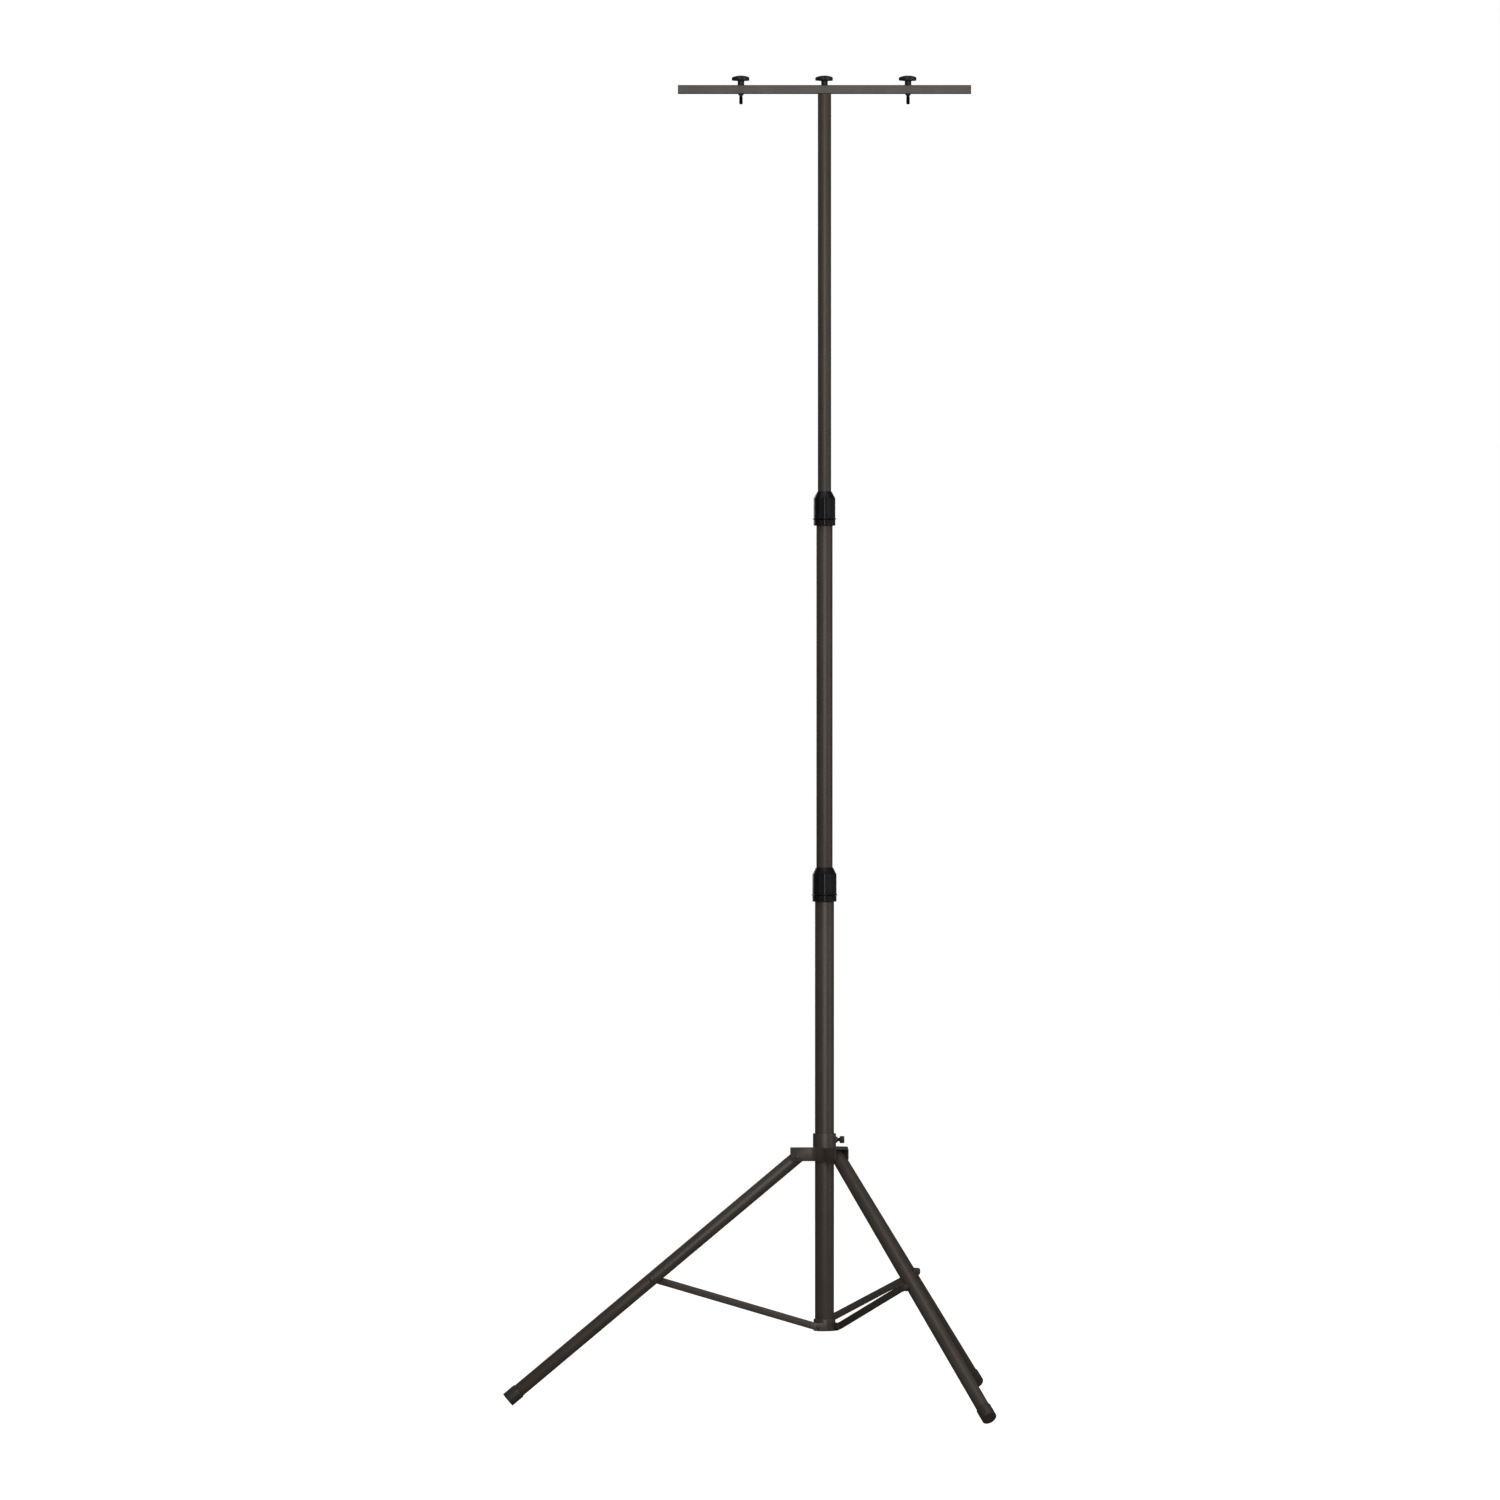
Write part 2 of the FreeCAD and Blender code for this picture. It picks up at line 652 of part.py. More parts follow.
def make_clamp_screw():
    """Make the clamp screw's stud and its round head."""
    height = hinge_height() + size("screw_height")
    stud = new_body("clamp_screw_stud")
    start = "lower_tube_od / 2 + face_gap"
    end = "sleeve_od / 2 + thumb_start + thumb_length / 2"
    revolve(stud, ((start, "0"), (end, "0"), (end, "screw_od / 2"), (start, "screw_od / 2")),
            axis="H_Axis")
    keep(stud, "clamp_screw_stud", upright(height))
    head = new_body("clamp_screw_head")
    near = "sleeve_od / 2 + thumb_start"
    far = f"{near} + thumb_length"
    bore = "screw_od / 2 + seat_gap"
    revolve(head, ((near, bore), (near, "thumb_od / 2 - 1"), (f"{near} + 1", "thumb_od / 2"),
                   (f"{far} - 1", "thumb_od / 2"), (far, "thumb_od / 2 - 1"), (far, "0"),
                   (f"{end} + seat_gap", "0"), (f"{end} + seat_gap", bore)), axis="H_Axis")
    keep(head, "clamp_screw_head", upright(height))


def cross_pin(label, radius, low, high, head, head_height, heads):
    """Make a pin along Y from low to high, with a domed head past one or both ends.

    heads lists a name, the face that the head lies on, and 1 for +Y or -1 for -Y.
    """
    body = new_body(label)
    shank = new_sketch(body, "XZ_Plane", "shank", f"-({low})")
    circle(shank, radius)
    pad(body, shank, f"-(({high}) - ({low}))")
    for name, face, side in heads:
        disc = new_sketch(body, "XZ_Plane", name, f"-({face})")
        circle(disc, head)
        cap = pad(body, disc, f"-({head_height}) * ({side})")
        top = side * max(side * point.y for edge in cap.Shape.Edges for point in ends(edge))
        round_edges(body, cap, f"{head_height} - 0.4", lambda edge: at_depth(edge, top))
    return body


def make_hinge_pins():
    """Make the three rivets that the legs fold on."""
    pins = []
    for number, azimuth in LEGS:
        face = "spider_width / 2"
        heads = (("left", face, 1), ("right", f"-({face})", -1))
        body = cross_pin(f"hinge_pin_{number}", "hinge_pin_od / 2", f"-({face})", face,
                         "hinge_head_od / 2", "hinge_head_height", heads)
        body.Placement = in_leg_plane(azimuth, size("hinge_radius"), hinge_height())
        pins.append(body)
    gather("leg_hinge_pins", pins)


# --- Legs and struts ---


def leg_place(azimuth):
    """Place a leg's piece: hinge at its own origin, leg along its own +X."""
    return in_leg_plane(azimuth, size("hinge_radius"), hinge_height(), size("leg_angle"))


def make_leg_tube(number, place):
    """Make a leg tube with the holes for its hinge pin and its strut rivet."""
    body = new_body(f"leg_{number}_tube")
    section = new_sketch(body, "YZ_Plane", "section", "-leg_overhang")
    circle(section, "leg_tube_od / 2")
    circle(section, "leg_tube_od / 2 - tube_wall")
    pad(body, section, "leg_overhang + leg_length - cap_floor - seat_gap")
    holes = (("hinge", "0", "hinge_pin_od / 2 + run_gap"),
             ("strut", "strut_reach", "strut_pin_od / 2 + seat_gap"))
    for label, along, radius in holes:
        hole = new_sketch(body, "XZ_Plane", label)
        circle(hole, radius, along)
        pocket(body, hole)
    keep(body, f"leg_{number}_tube", place)


def make_leg_cap(number, place):
    """Make the foot cap, cut square to the leg."""
    body = new_body(f"leg_{number}_cap")
    bore = "leg_tube_od / 2 + seat_gap"
    mouth = "leg_length - cap_length"
    cup = revolve(body, ((mouth, bore), (mouth, "cap_od / 2"), ("leg_length", "cap_od / 2"),
                         ("leg_length", "0"), ("leg_length - cap_floor", "0"),
                         ("leg_length - cap_floor", bore)), axis="H_Axis")
    side = size("cap_od") / 2
    round_edges(body, cup, "cap_edge",
                lambda edge: abs(math.hypot(*edge.Vertexes[0].Point[1:]) - side) < TINY
                and not isinstance(edge.Curve, Part.Line))
    keep(body, f"leg_{number}_cap", place)


def make_leg_rivet(number, place):
    """Make the leg's half of the strut rivet, headed on the leg's far side."""
    face = "leg_tube_od / 2"
    near = "-(leg_tube_od / 2 - seat_gap)"
    rivet = cross_pin(f"leg_{number}_rivet", "strut_pin_od / 2", near, face,
                      "rivet_head_od / 2", "rivet_head_height", (("head", face, 1),))
    shift = FreeCAD.Placement(FreeCAD.Vector(size("strut_reach"), 0, 0), FreeCAD.Rotation())
    keep(rivet, f"leg_{number}_rivet", place.multiply(shift))


def strut_place(azimuth):
    """Place a strut's piece: lower pivot at its own origin, strut rising along its own +X."""
    return in_leg_plane(azimuth, size("ring_pivot"), mast_foot() + size("lug_radius"),
                        -size("strut_angle"))


def make_strut(number, place):
    """Make a strut: flat bar with round ends, bent twice to cross from lug to spacer."""
    body = new_body(f"strut_{number}_bar")
    low_in = "ring_od / 2 + face_gap"
    low_out = "ring_od / 2 + face_gap + strut_plate"
    high_in = "-(leg_tube_od / 2 + spacer_length)"
    high_out = "-(leg_tube_od / 2 + spacer_length + strut_plate)"
    foot = "-strut_width / 2"
    first = "strut_low_flat"
    second = "strut_length - strut_high_flat"
    head = "strut_length + strut_width / 2"
    plan = new_sketch(body, "XY_Plane", "plan")
    outline(plan, ((foot, low_in), (first, low_in), (second, high_out), (head, high_out),
                   (head, high_in), (second, high_in), (first, low_out), (foot, low_out)))
    bar = pad(body, plan, "strut_width", both_ways=True)
    bends = {size("strut_low_flat"), size("strut_length") - size("strut_high_flat")}
    bent = round_edges(body, bar, "strut_bend",
                       lambda edge: is_upright(edge)
                       and min(abs(edge.Vertexes[0].Point.x - x) for x in bends) < TINY)
    half = size("strut_width") / 2
    tips = (-half, size("strut_length") + half)
    round_edges(body, bent, "strut_width / 2 - seat_gap / 5",
                lambda edge: abs(ends(edge)[0].z - ends(edge)[1].z) < TINY
                and all(min(abs(point.x - x) for x in tips) < TINY for point in ends(edge)))
    for label, radius, along in (("low", "lug_pin_od / 2 + run_gap", "0"),
                                 ("high", "strut_pin_od / 2 + seat_gap", "strut_length")):
        hole = new_sketch(body, "XZ_Plane", label)
        circle(hole, radius, along)
        pocket(body, hole)
    keep(body, f"strut_{number}_bar", place)


def make_spacer(number, place):
    """Make the spacer that holds the upper end of a strut off its leg."""
    body = new_body(f"strut_{number}_spacer")
    sketch = new_sketch(body, "XZ_Plane", "section", "leg_tube_od / 2 + face_gap")
    circle(sketch, "spacer_od / 2", "strut_length")
    circle(sketch, "strut_pin_od / 2 + seat_gap", "strut_length")
    pad(body, sketch, "spacer_length - face_gap - seat_gap")
    keep(body, f"strut_{number}_spacer", place)


def make_strut_rivet(number, place):
    """Make the strut's half of its upper rivet, headed on the outside of the bar."""
    face = "-(leg_tube_od / 2 + spacer_length + strut_plate + seat_gap)"
    near = "-(leg_tube_od / 2 + face_gap)"
    rivet = cross_pin(f"strut_{number}_rivet", "strut_pin_od / 2", face, near,
                      "rivet_head_od / 2", "rivet_head_height", (("head", face, -1),))
    shift = FreeCAD.Placement(FreeCAD.Vector(size("strut_length"), 0, 0), FreeCAD.Rotation())
    keep(rivet, f"strut_{number}_rivet", place.multiply(shift))


# --- T-bar, knobs and bolts ---


def make_bar():
    """Make the square T-bar with its three bolt holes."""
    body = new_body("t_bar")
    section = new_sketch(body, "YZ_Plane", "section")
    box_outline(section, "-bar_side / 2", "bar_side / 2", "0", "bar_side")
    box_outline(section, "-bar_side / 2 + bar_wall", "bar_side / 2 - bar_wall",
                "bar_wall", "bar_side - bar_wall")
    bar = pad(body, section, "bar_length - 2 * bar_plug_plate", both_ways=True)
    half = size("bar_side") / 2
    round_edges(body, bar, "bar_edge",
                lambda edge: is_along_bar(edge) and abs(abs(ends(edge)[0].y) - half) < TINY)
    holes = new_sketch(body, "XY_Plane", "holes")
    for across in ("-lamp_spacing / 2", "0", "lamp_spacing / 2"):
        circle(holes, "bolt_od / 2 + run_gap", across)
    pocket(body, holes)
    keep(body, "t_bar", upright(bar_height()))


def is_along_bar(edge):
    """Tell whether an edge runs along X."""
    start, end = ends(edge)
    return math.hypot(end.y - start.y, end.z - start.z) < TINY < abs(end.x - start.x)


def make_bar_plugs():
    """Make the two plugs in the T-bar's ends."""
    plugs = []
    for name, turn in (("left", 180), ("right", 0)):
        body = new_body(f"bar_plug_{name}")
        tail = new_sketch(body, "YZ_Plane", "tail", "bar_length / 2 - bar_plug_plate - bar_plug_depth")
        side = "bar_side / 2 - bar_wall - seat_gap"
        box_outline(tail, f"-({side})", side, "bar_wall + seat_gap", "bar_side - bar_wall - seat_gap")
        pad(body, tail, "bar_plug_depth")
        plate = new_sketch(body, "YZ_Plane", "plate", "bar_length / 2 - bar_plug_plate")
        box_outline(plate, "-bar_side / 2", "bar_side / 2", "0", "bar_side")
        flange = pad(body, plate, "bar_plug_plate")
        half = size("bar_side") / 2
        round_edges(body, flange, "bar_edge",
                    lambda edge: is_along_bar(edge) and abs(abs(ends(edge)[0].y) - half) < TINY)
        body.Placement = FreeCAD.Placement(FreeCAD.Vector(0, 0, bar_height()),
                                           FreeCAD.Rotation(UP, turn))
        plugs.append(body)
    gather("bar_plugs", plugs)


def make_knob(label, place):
    """Make a lobed knob: domed head over a round neck, bored for its bolt."""
    body = new_body(f"{label}_blank")
    neck = new_sketch(body, "XY_Plane", "neck")
    circle(neck, "knob_neck_od / 2")
    pad(body, neck, "knob_neck + 1")
    core = new_sketch(body, "XY_Plane", "core", "knob_neck")
    circle(core, "knob_core / 2")
    pad(body, core, "knob_rim + knob_dome")
    lobe = new_sketch(body, "XY_Plane", "lobe", "knob_neck")
    circle(lobe, "knob_lobe", "-(knob_reach - knob_lobe)")
    petal = pad(body, lobe, "knob_rim + knob_dome")
    star = pattern(body, [petal], "knob_lobes")
    smooth = round_edges(body, star, "knob_valley", lambda edge: is_upright(edge) and is_inner(edge))
    foot = size("knob_neck")
    rim = size("knob_core") / 2 - 1
    round_edges(body, smooth, "1",
                lambda edge: at_height(edge, foot) and corner_radius(edge) > rim)
    bore = new_sketch(body, "XY_Plane", "bore")
    circle(bore, "bolt_od / 2 + seat_gap")
    pocket(body, bore, "bolt_root + seat_gap", flip=True)
    dome = doc.addObject("Part::Sphere", f"{label}_dome")
    ball = "((knob_reach ^ 2 + knob_dome ^ 2) / (2 * knob_dome))"
    bind(dome, "Radius", ball)
    bind(dome, "Placement.Base.z", f"knob_neck + knob_rim + knob_dome - {ball}")
    head = combine("Part::Common", body, dome, label)
    keep(head, label, place)


def is_inner(edge):
    """Tell whether an upright edge is the corner of a valley rather than a seam."""
    return corner_radius(edge) < size("knob_reach") - 1


def make_bolt(label, drop, place):
    """Make a bolt from inside its knob down through the bar: shank, relief groove, thread, tip."""
    body = new_body(label)
    tip = f"-({drop})"
    shoulder = "-bar_side - seat_gap - collar_height"
    groove = f"{shoulder} - relief_length"
    revolve(body, (("0", tip), ("thread_od / 2 - bolt_tip", tip), ("thread_od / 2", f"{tip} + bolt_tip"),
                   ("thread_od / 2", groove), ("relief_od / 2", groove), ("relief_od / 2", shoulder),
                   ("bolt_od / 2", shoulder), ("bolt_od / 2", "bolt_root"), ("0", "bolt_root")))
    keep(body, label, place)


def make_collar(label, place):
    """Make the conical collar that keeps a lamp bolt in the bar."""
    body = new_body(label)
    bore = "bolt_od / 2 + seat_gap"
    top = "-bar_side - seat_gap"
    low = f"{top} - collar_height"
    revolve(body, ((bore, low), ("bolt_od / 2 + 1", low), ("collar_od / 2", f"{top} - 0.8"),
                   ("collar_od / 2", top), (bore, top)))
    keep(body, label, place)


def make_top():
    """Make the T-bar and what is fastened to it."""
    make_bar()
    make_bar_plugs()
    deck = bar_height() + size("bar_side") + size("seat_gap")
    half = size("lamp_spacing") / 2
    for name, across in (("left", -half), ("right", half)):
        place = FreeCAD.Placement(FreeCAD.Vector(across, 0, deck), FreeCAD.Rotation())
        make_knob(f"lamp_knob_{name}", place)
        make_bolt(f"lamp_bolt_{name}", "bar_side + bolt_drop", place)
        make_collar(f"lamp_collar_{name}", place)
    make_knob("bar_knob", upright(deck))
    make_bolt("bar_bolt", "bar_side + insert_length - bolt_tip", upright(deck))


def check_and_write():
    """Stop on any failed object, then write every piece to its own file."""
    doc.recompute()
    for item in doc.Objects:
        if "Invalid" in item.State or "Error" in item.State:
            raise RuntimeError(f"{item.Label} failed: {item.State}")
    for piece in pieces:
        if piece.Shape.isNull() or not piece.Shape.isValid() or not piece.Shape.Solids:
            raise RuntimeError(f"{piece.Label} has no valid solid")
    os.makedirs("parts", exist_ok=True)
    for piece in pieces:
        piece.Shape.exportStep(f"parts/{piece.Label}.step")


write_sizes(SIZES)
write_sizes(tied_sizes())
make_tube("lower_tube", "lower_tube_od", "lower_tube_length", upright(mast_foot()))
make_mast_plug()
make_ring()
make_ring_rivets()
make_lock("lower", "lower_tube_od", "mid_tube_od", "lower_lock_od", "lower_flange_od",
          lower_lock_foot())
make_tube("mid_tube", "mid_tube_od", "mid_tube_length", upright(mid_tube_foot()))
make_bush("mid_bush", "lower_tube_od", "mid_tube_od", mid_tube_foot())
make_lock("upper", "mid_tube_od", "top_tube_od", "upper_lock_od", "upper_flange_od",
          upper_lock_foot())
make_tube("top_tube", "top_tube_od", "top_tube_length", upright(top_tube_foot()))
make_bush("top_bush", "mid_tube_od", "top_tube_od", top_tube_foot())
make_mast_insert()
make_spider()
make_hub_sleeve()
make_screw_boss()
make_clamp_screw()
make_hinge_pins()
for leg, heading in LEGS:
    make_leg_tube(leg, leg_place(heading))
    make_leg_cap(leg, leg_place(heading))
    make_leg_rivet(leg, leg_place(heading))
    make_strut(leg, strut_place(heading))
    make_spacer(leg, strut_place(heading))
    make_strut_rivet(leg, strut_place(heading))
make_top()
check_and_write()
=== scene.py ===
"""Looks of a telescopic tripod stand: powder-coated steel tubes, moulded twist locks and knobs.

Pieces are modelled in millimetres in the frame of the sub-assembly they belong to, then moved
to their place in the stand's own frame, in metres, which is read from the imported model.
"""

import json
import logging
import math
from dataclasses import dataclass
from enum import Enum
from typing import Callable, Sequence

import bmesh
import bpy
from mathutils import Matrix, Vector


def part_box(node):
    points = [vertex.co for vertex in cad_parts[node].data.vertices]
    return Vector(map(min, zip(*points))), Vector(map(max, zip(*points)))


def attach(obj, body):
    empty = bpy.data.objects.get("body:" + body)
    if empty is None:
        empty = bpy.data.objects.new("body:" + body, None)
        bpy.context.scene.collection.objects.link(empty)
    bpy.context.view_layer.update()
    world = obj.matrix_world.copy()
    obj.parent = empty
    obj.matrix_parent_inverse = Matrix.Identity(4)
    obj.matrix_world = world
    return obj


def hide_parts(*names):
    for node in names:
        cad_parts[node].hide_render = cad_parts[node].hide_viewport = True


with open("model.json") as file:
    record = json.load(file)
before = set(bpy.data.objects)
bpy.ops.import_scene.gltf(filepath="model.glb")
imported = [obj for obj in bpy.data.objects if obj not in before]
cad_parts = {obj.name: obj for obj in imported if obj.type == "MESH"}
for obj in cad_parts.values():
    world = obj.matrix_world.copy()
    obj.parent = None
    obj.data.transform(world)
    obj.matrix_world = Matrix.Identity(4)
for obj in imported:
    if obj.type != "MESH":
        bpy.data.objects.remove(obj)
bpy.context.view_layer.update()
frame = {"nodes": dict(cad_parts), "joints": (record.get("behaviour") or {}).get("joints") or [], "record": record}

MM = 0.001
FULL_TURN = 2 * math.pi
ROUND_STEPS = 96
FLUTE_STEPS = 192
SHARP_ANGLE = math.radians(32)
MERGE = 1e-4
PIN_STEPS = 48
ROD_STEPS = 40
M8_PITCH = 1.25

log = logging.getLogger("tripod_stand")

Outline = Sequence[tuple[float, float]]


# --- Small tools -------------------------------------------------------------------------------


def linear(code: str) -> tuple[float, float, float, float]:
    """Turn an sRGB hex colour into linear light.

    Args:
        code: Six hex digits with a leading hash.

    Returns:
        Red, green, blue and alpha for a shader socket.
    """
    channels = []
    for start in (1, 3, 5):
        value = int(code[start:start + 2], 16) / 255
        channels.append(value / 12.92 if value <= 0.04045 else ((value + 0.055) / 1.055) ** 2.4)
    return (*channels, 1.0)


def add_node(tree: bpy.types.NodeTree, kind: str, settings: dict[str, object],
             links: dict[str, bpy.types.NodeSocket]) -> bpy.types.Node:
    """Add one shader node.

    Args:
        tree: The material's or the world's node tree.
        kind: The node's type name.
        settings: Attributes of the node, or default values of its inputs by name.
        links: Output sockets to join to the node's inputs, by the input's name.

    Returns:
        The new node.
    """
    node = tree.nodes.new(kind)
    for name, value in settings.items():
        if name in node.inputs:
            node.inputs[name].default_value = value
        else:
            setattr(node, name, value)
    for name, socket in links.items():
        tree.links.new(socket, node.inputs[name])
    return node


def per_metre(size_mm: float) -> float:
    """Give the noise scale whose grains are about this many millimetres across."""
    return 1.0 / (size_mm * MM)


# --- Finishes ----------------------------------------------------------------------------------


@dataclass(frozen=True)
class Finish:
    """A surface finish: a base colour with a faint mottle, a sheen that wanders and a fine grain.

    Attributes:
        name: Name of the material.
        shade: Main colour, sRGB hex.
        mottle: Second colour of the faint mottle, sRGB hex.
        mottle_mm: Size of the mottle.
        roughness: Lowest and highest roughness over the surface.
        grain_mm: Size of the grain that the bump shows.
        grain_depth_mm: Height of the grain.
        metallic: 1 for bare metal, 0 for paint and plastic.
        ior: Index of refraction of paint or plastic.
        coat: Weight of a thin clear layer.
    """

    name: str
    shade: str
    mottle: str
    mottle_mm: float = 40.0
    roughness: tuple[float, float] = (0.4, 0.5)
    grain_mm: float = 1.0
    grain_depth_mm: float = 0.03
    metallic: float = 0.0
    ior: float = 1.5
    coat: float = 0.0

    def material(self) -> bpy.types.Material:
        """Build the node material, once for each finish.

        Returns:
            The material.
        """
        known = bpy.data.materials.get(self.name)
        if known is not None:
            return known
        made = bpy.data.materials.new(self.name)
        made.use_nodes = True
        tree = made.node_tree
        tree.nodes.clear()
        place = add_node(tree, "ShaderNodeTexCoord", {}, {}).outputs["Object"]
        patches = add_node(tree, "ShaderNodeTexNoise",
                           {"Scale": per_metre(self.mottle_mm), "Detail": 4.0},
                           {"Vector": place})
        tint = add_node(tree, "ShaderNodeValToRGB", {}, {"Fac": patches.outputs["Fac"]})
        tint.color_ramp.elements[0].position = 0.35
        tint.color_ramp.elements[0].color = linear(self.shade)
        tint.color_ramp.elements[1].position = 0.68
        tint.color_ramp.elements[1].color = linear(self.mottle)
        sheen = add_node(tree, "ShaderNodeMapRange",
                         {"From Min": 0.3, "From Max": 0.7,
                          "To Min": self.roughness[0], "To Max": self.roughness[1]},
                         {"Value": patches.outputs["Fac"]})
        grain = add_node(tree, "ShaderNodeTexNoise",
                         {"Scale": per_metre(self.grain_mm), "Detail": 2.0}, {"Vector": place})
        bump = add_node(tree, "ShaderNodeBump",
                        {"Strength": 1.0, "Distance": self.grain_depth_mm * MM},
                        {"Height": grain.outputs["Fac"]})
        shader = add_node(tree, "ShaderNodeBsdfPrincipled",
                          {"Metallic": self.metallic, "IOR": self.ior, "Coat Weight": self.coat},
                          {"Base Color": tint.outputs["Color"],
                           "Roughness": sheen.outputs["Result"],
                           "Normal": bump.outputs["Normal"]})
        add_node(tree, "ShaderNodeOutputMaterial", {}, {"Surface": shader.outputs["BSDF"]})
        return made


class Coating(Enum):
    """The finishes of this stand."""

    # Polyester powder coat, sprayed and stoved: satin, with a soft orange-peel skin.
    UMBER_POWDER = Finish("umber_powder_coat", "#4C433B", "#524941", 60.0, (0.42, 0.48), 1.6, 0.035)
    # The same coat on pressed and welded parts, a little thicker and softer on the edges.
    UMBER_POWDER_THICK = Finish("umber_powder_coat_thick", "#494037", "#4E453C", 30.0,
                                (0.38, 0.46), 1.8, 0.035)
    # The same coat on drawn square tube, painted paler: a lit copy of the coat, with painted light standing in for
    # the light on its flat faces.
    UMBER_POWDER_PAINTED_LIT = Finish("umber_powder_coat_painted_lit", "#544C46", "#595049", 50.0,
                               (0.42, 0.5), 1.5, 0.03)
    # Glass-filled nylon moulding of the twist locks: black, drawn from a smooth tool.
    BLACK_NYLON = Finish("black_nylon", "#0B0B0B", "#10100F", 25.0, (0.32, 0.4), 0.7, 0.02, ior=1.4)
    # Polypropylene knob, spark-eroded tool: black with a dull fine grain.
    BLACK_KNOB = Finish("black_polypropylene", "#161717", "#1C1D1C", 12.0, (0.48, 0.6), 0.6, 0.05)
    # Soft polyethylene foot cap and spacers, tinted like the coat.
    UMBER_POLYETHYLENE = Finish("umber_polyethylene", "#3A342F", "#403A34", 20.0,
                                (0.46, 0.56), 0.9, 0.05)
    # Black-oxide steel of the bolts and the clamp screw: dark, with an oily gloss.
    BLACK_OXIDE_STEEL = Finish("black_oxide_steel", "#1A1918", "#262421", 6.0, (0.3, 0.42), 0.5,
                               0.015, metallic=1.0)
    # Zinc-plated steel of the hidden threaded insert.
    ZINC_PLATE = Finish("zinc_plate", "#8E9092", "#A3A5A6", 8.0, (0.28, 0.4), 0.6, 0.01,
                        metallic=1.0)


# --- Mesh tools --------------------------------------------------------------------------------


def mend(mesh: bmesh.types.BMesh) -> bmesh.types.BMesh:
    """Merge doubles and point every face outwards.

    Args:
        mesh: The mesh, changed in place.

    Returns:
        The same mesh.
    """
    bmesh.ops.remove_doubles(mesh, verts=mesh.verts, dist=MERGE)
    bmesh.ops.dissolve_degenerate(mesh, dist=MERGE, edges=mesh.edges)
    bmesh.ops.recalc_face_normals(mesh, faces=mesh.faces)
    return mesh


def lathe(outline: Outline, steps: int = ROUND_STEPS, closed: bool = True) -> bmesh.types.BMesh:
    """Spin an outline about the Z axis.

    Args:
        outline: Points as radius and height.
        steps: Steps of a full turn.
        closed: Whether the last point joins the first.

    Returns:
        A closed skin, where the outline is closed or starts and ends on the axis.
    """
    mesh = bmesh.new()
    points = [mesh.verts.new((radius, 0, height)) for radius, height in outline]
    pairs = list(zip(points, points[1:]))
    if closed:
        pairs.append((points[-1], points[0]))
    lines = [mesh.edges.new(pair) for pair in pairs]
    bmesh.ops.spin(mesh, geom=points + lines, cent=(0, 0, 0), axis=(0, 0, 1), dvec=(0, 0, 0),
                   angle=FULL_TURN, steps=steps, use_merge=True, use_normal_flip=False,
                   use_duplicate=False)
    return mend(mesh)


def soften(mesh: bmesh.types.BMesh, width: float, segments: int = 3,
           wanted: Callable[[bmesh.types.BMEdge], bool] | None = None) -> bmesh.types.BMesh:
    """Round the sharp edges of a mesh.

    Args:
        mesh: The mesh, changed in place.
        width: Width of the rounding.
        segments: Steps across the rounding.
        wanted: Test for the edges to round; every sharp edge if left out.

    Returns:
        The same mesh.
    """
    sharp = [edge for edge in mesh.edges
             if len(edge.link_faces) == 2 and edge.calc_face_angle(0) > SHARP_ANGLE]
    if wanted is not None:
        sharp = [edge for edge in sharp if wanted(edge)]
    bmesh.ops.bevel(mesh, geom=sharp, offset=width, offset_type="OFFSET", affect="EDGES",
                    segments=segments, profile=0.5, material=-1, clamp_overlap=True)
    return mesh


def add_mesh(target: bmesh.types.BMesh, other: bmesh.types.BMesh,
             move: Matrix | None = None) -> bmesh.types.BMesh:
    """Copy one mesh into another.

    Args:
        target: The mesh that grows.
        other: The mesh that is copied, and freed.
        move: Where the copy goes.

    Returns:
        The grown mesh.
    """
    if move is not None:
        bmesh.ops.transform(other, matrix=move, verts=other.verts)
    holder = bpy.data.meshes.new("joining")
    other.to_mesh(holder)
    other.free()
    target.from_mesh(holder)
    bpy.data.meshes.remove(holder)
    return target


def dome_points(radius: float, rise: float, base: float,
                steps: int = 8) -> list[tuple[float, float]]:
    """Give the outline of a shallow dome, from its rim to the axis.

    Args:
        radius: Radius of the rim.
        rise: Height of the dome over its rim.
        base: Height of the rim.
        steps: Number of chords.

    Returns:
        Points as radius and height.
    """
    ball = (radius ** 2 + rise ** 2) / (2 * rise)
    widest = math.asin(min(1.0, radius / ball))
    points = []
    for step in range(steps + 1):
        angle = widest * (1 - step / steps)
        points.append((ball * math.sin(angle), base + rise - ball * (1 - math.cos(angle))))
    return points


def square_outline(side: float, corner: float, steps: int = 5) -> list[tuple[float, float]]:
    """Give the outline of a square with rounded corners, centred on the origin.

    Args:
        side: Length of a side.
        corner: Radius of the corners.
        steps: Steps round a corner.

    Returns:
        Points, anticlockwise.
    """
    points = []
    middle = side / 2 - corner
    for quarter in range(4):
        start = quarter * math.pi / 2
        spot = Matrix.Rotation(start, 2) @ Vector((middle, middle))
        for step in range(steps + 1):
            angle = start + math.pi / 2 * step / steps
            points.append((spot.x + corner * math.cos(angle), spot.y + corner * math.sin(angle)))
    return points


def prism(outline: Outline, low: float, high: float) -> bmesh.types.BMesh:
    """Extrude a flat outline along Z.

    Args:
        outline: Points as X and Y.
        low: Height of the lower face.
        high: Height of the upper face.

    Returns:
        A closed prism.
    """
    mesh = bmesh.new()
    face = mesh.faces.new([mesh.verts.new((x, y, low)) for x, y in outline])
    grown = bmesh.ops.extrude_face_region(mesh, geom=[face], use_keep_orig=True)
    top = [item for item in grown["geom"] if isinstance(item, bmesh.types.BMVert)]
    bmesh.ops.translate(mesh, verts=top, vec=(0, 0, high - low))
    return mend(mesh)


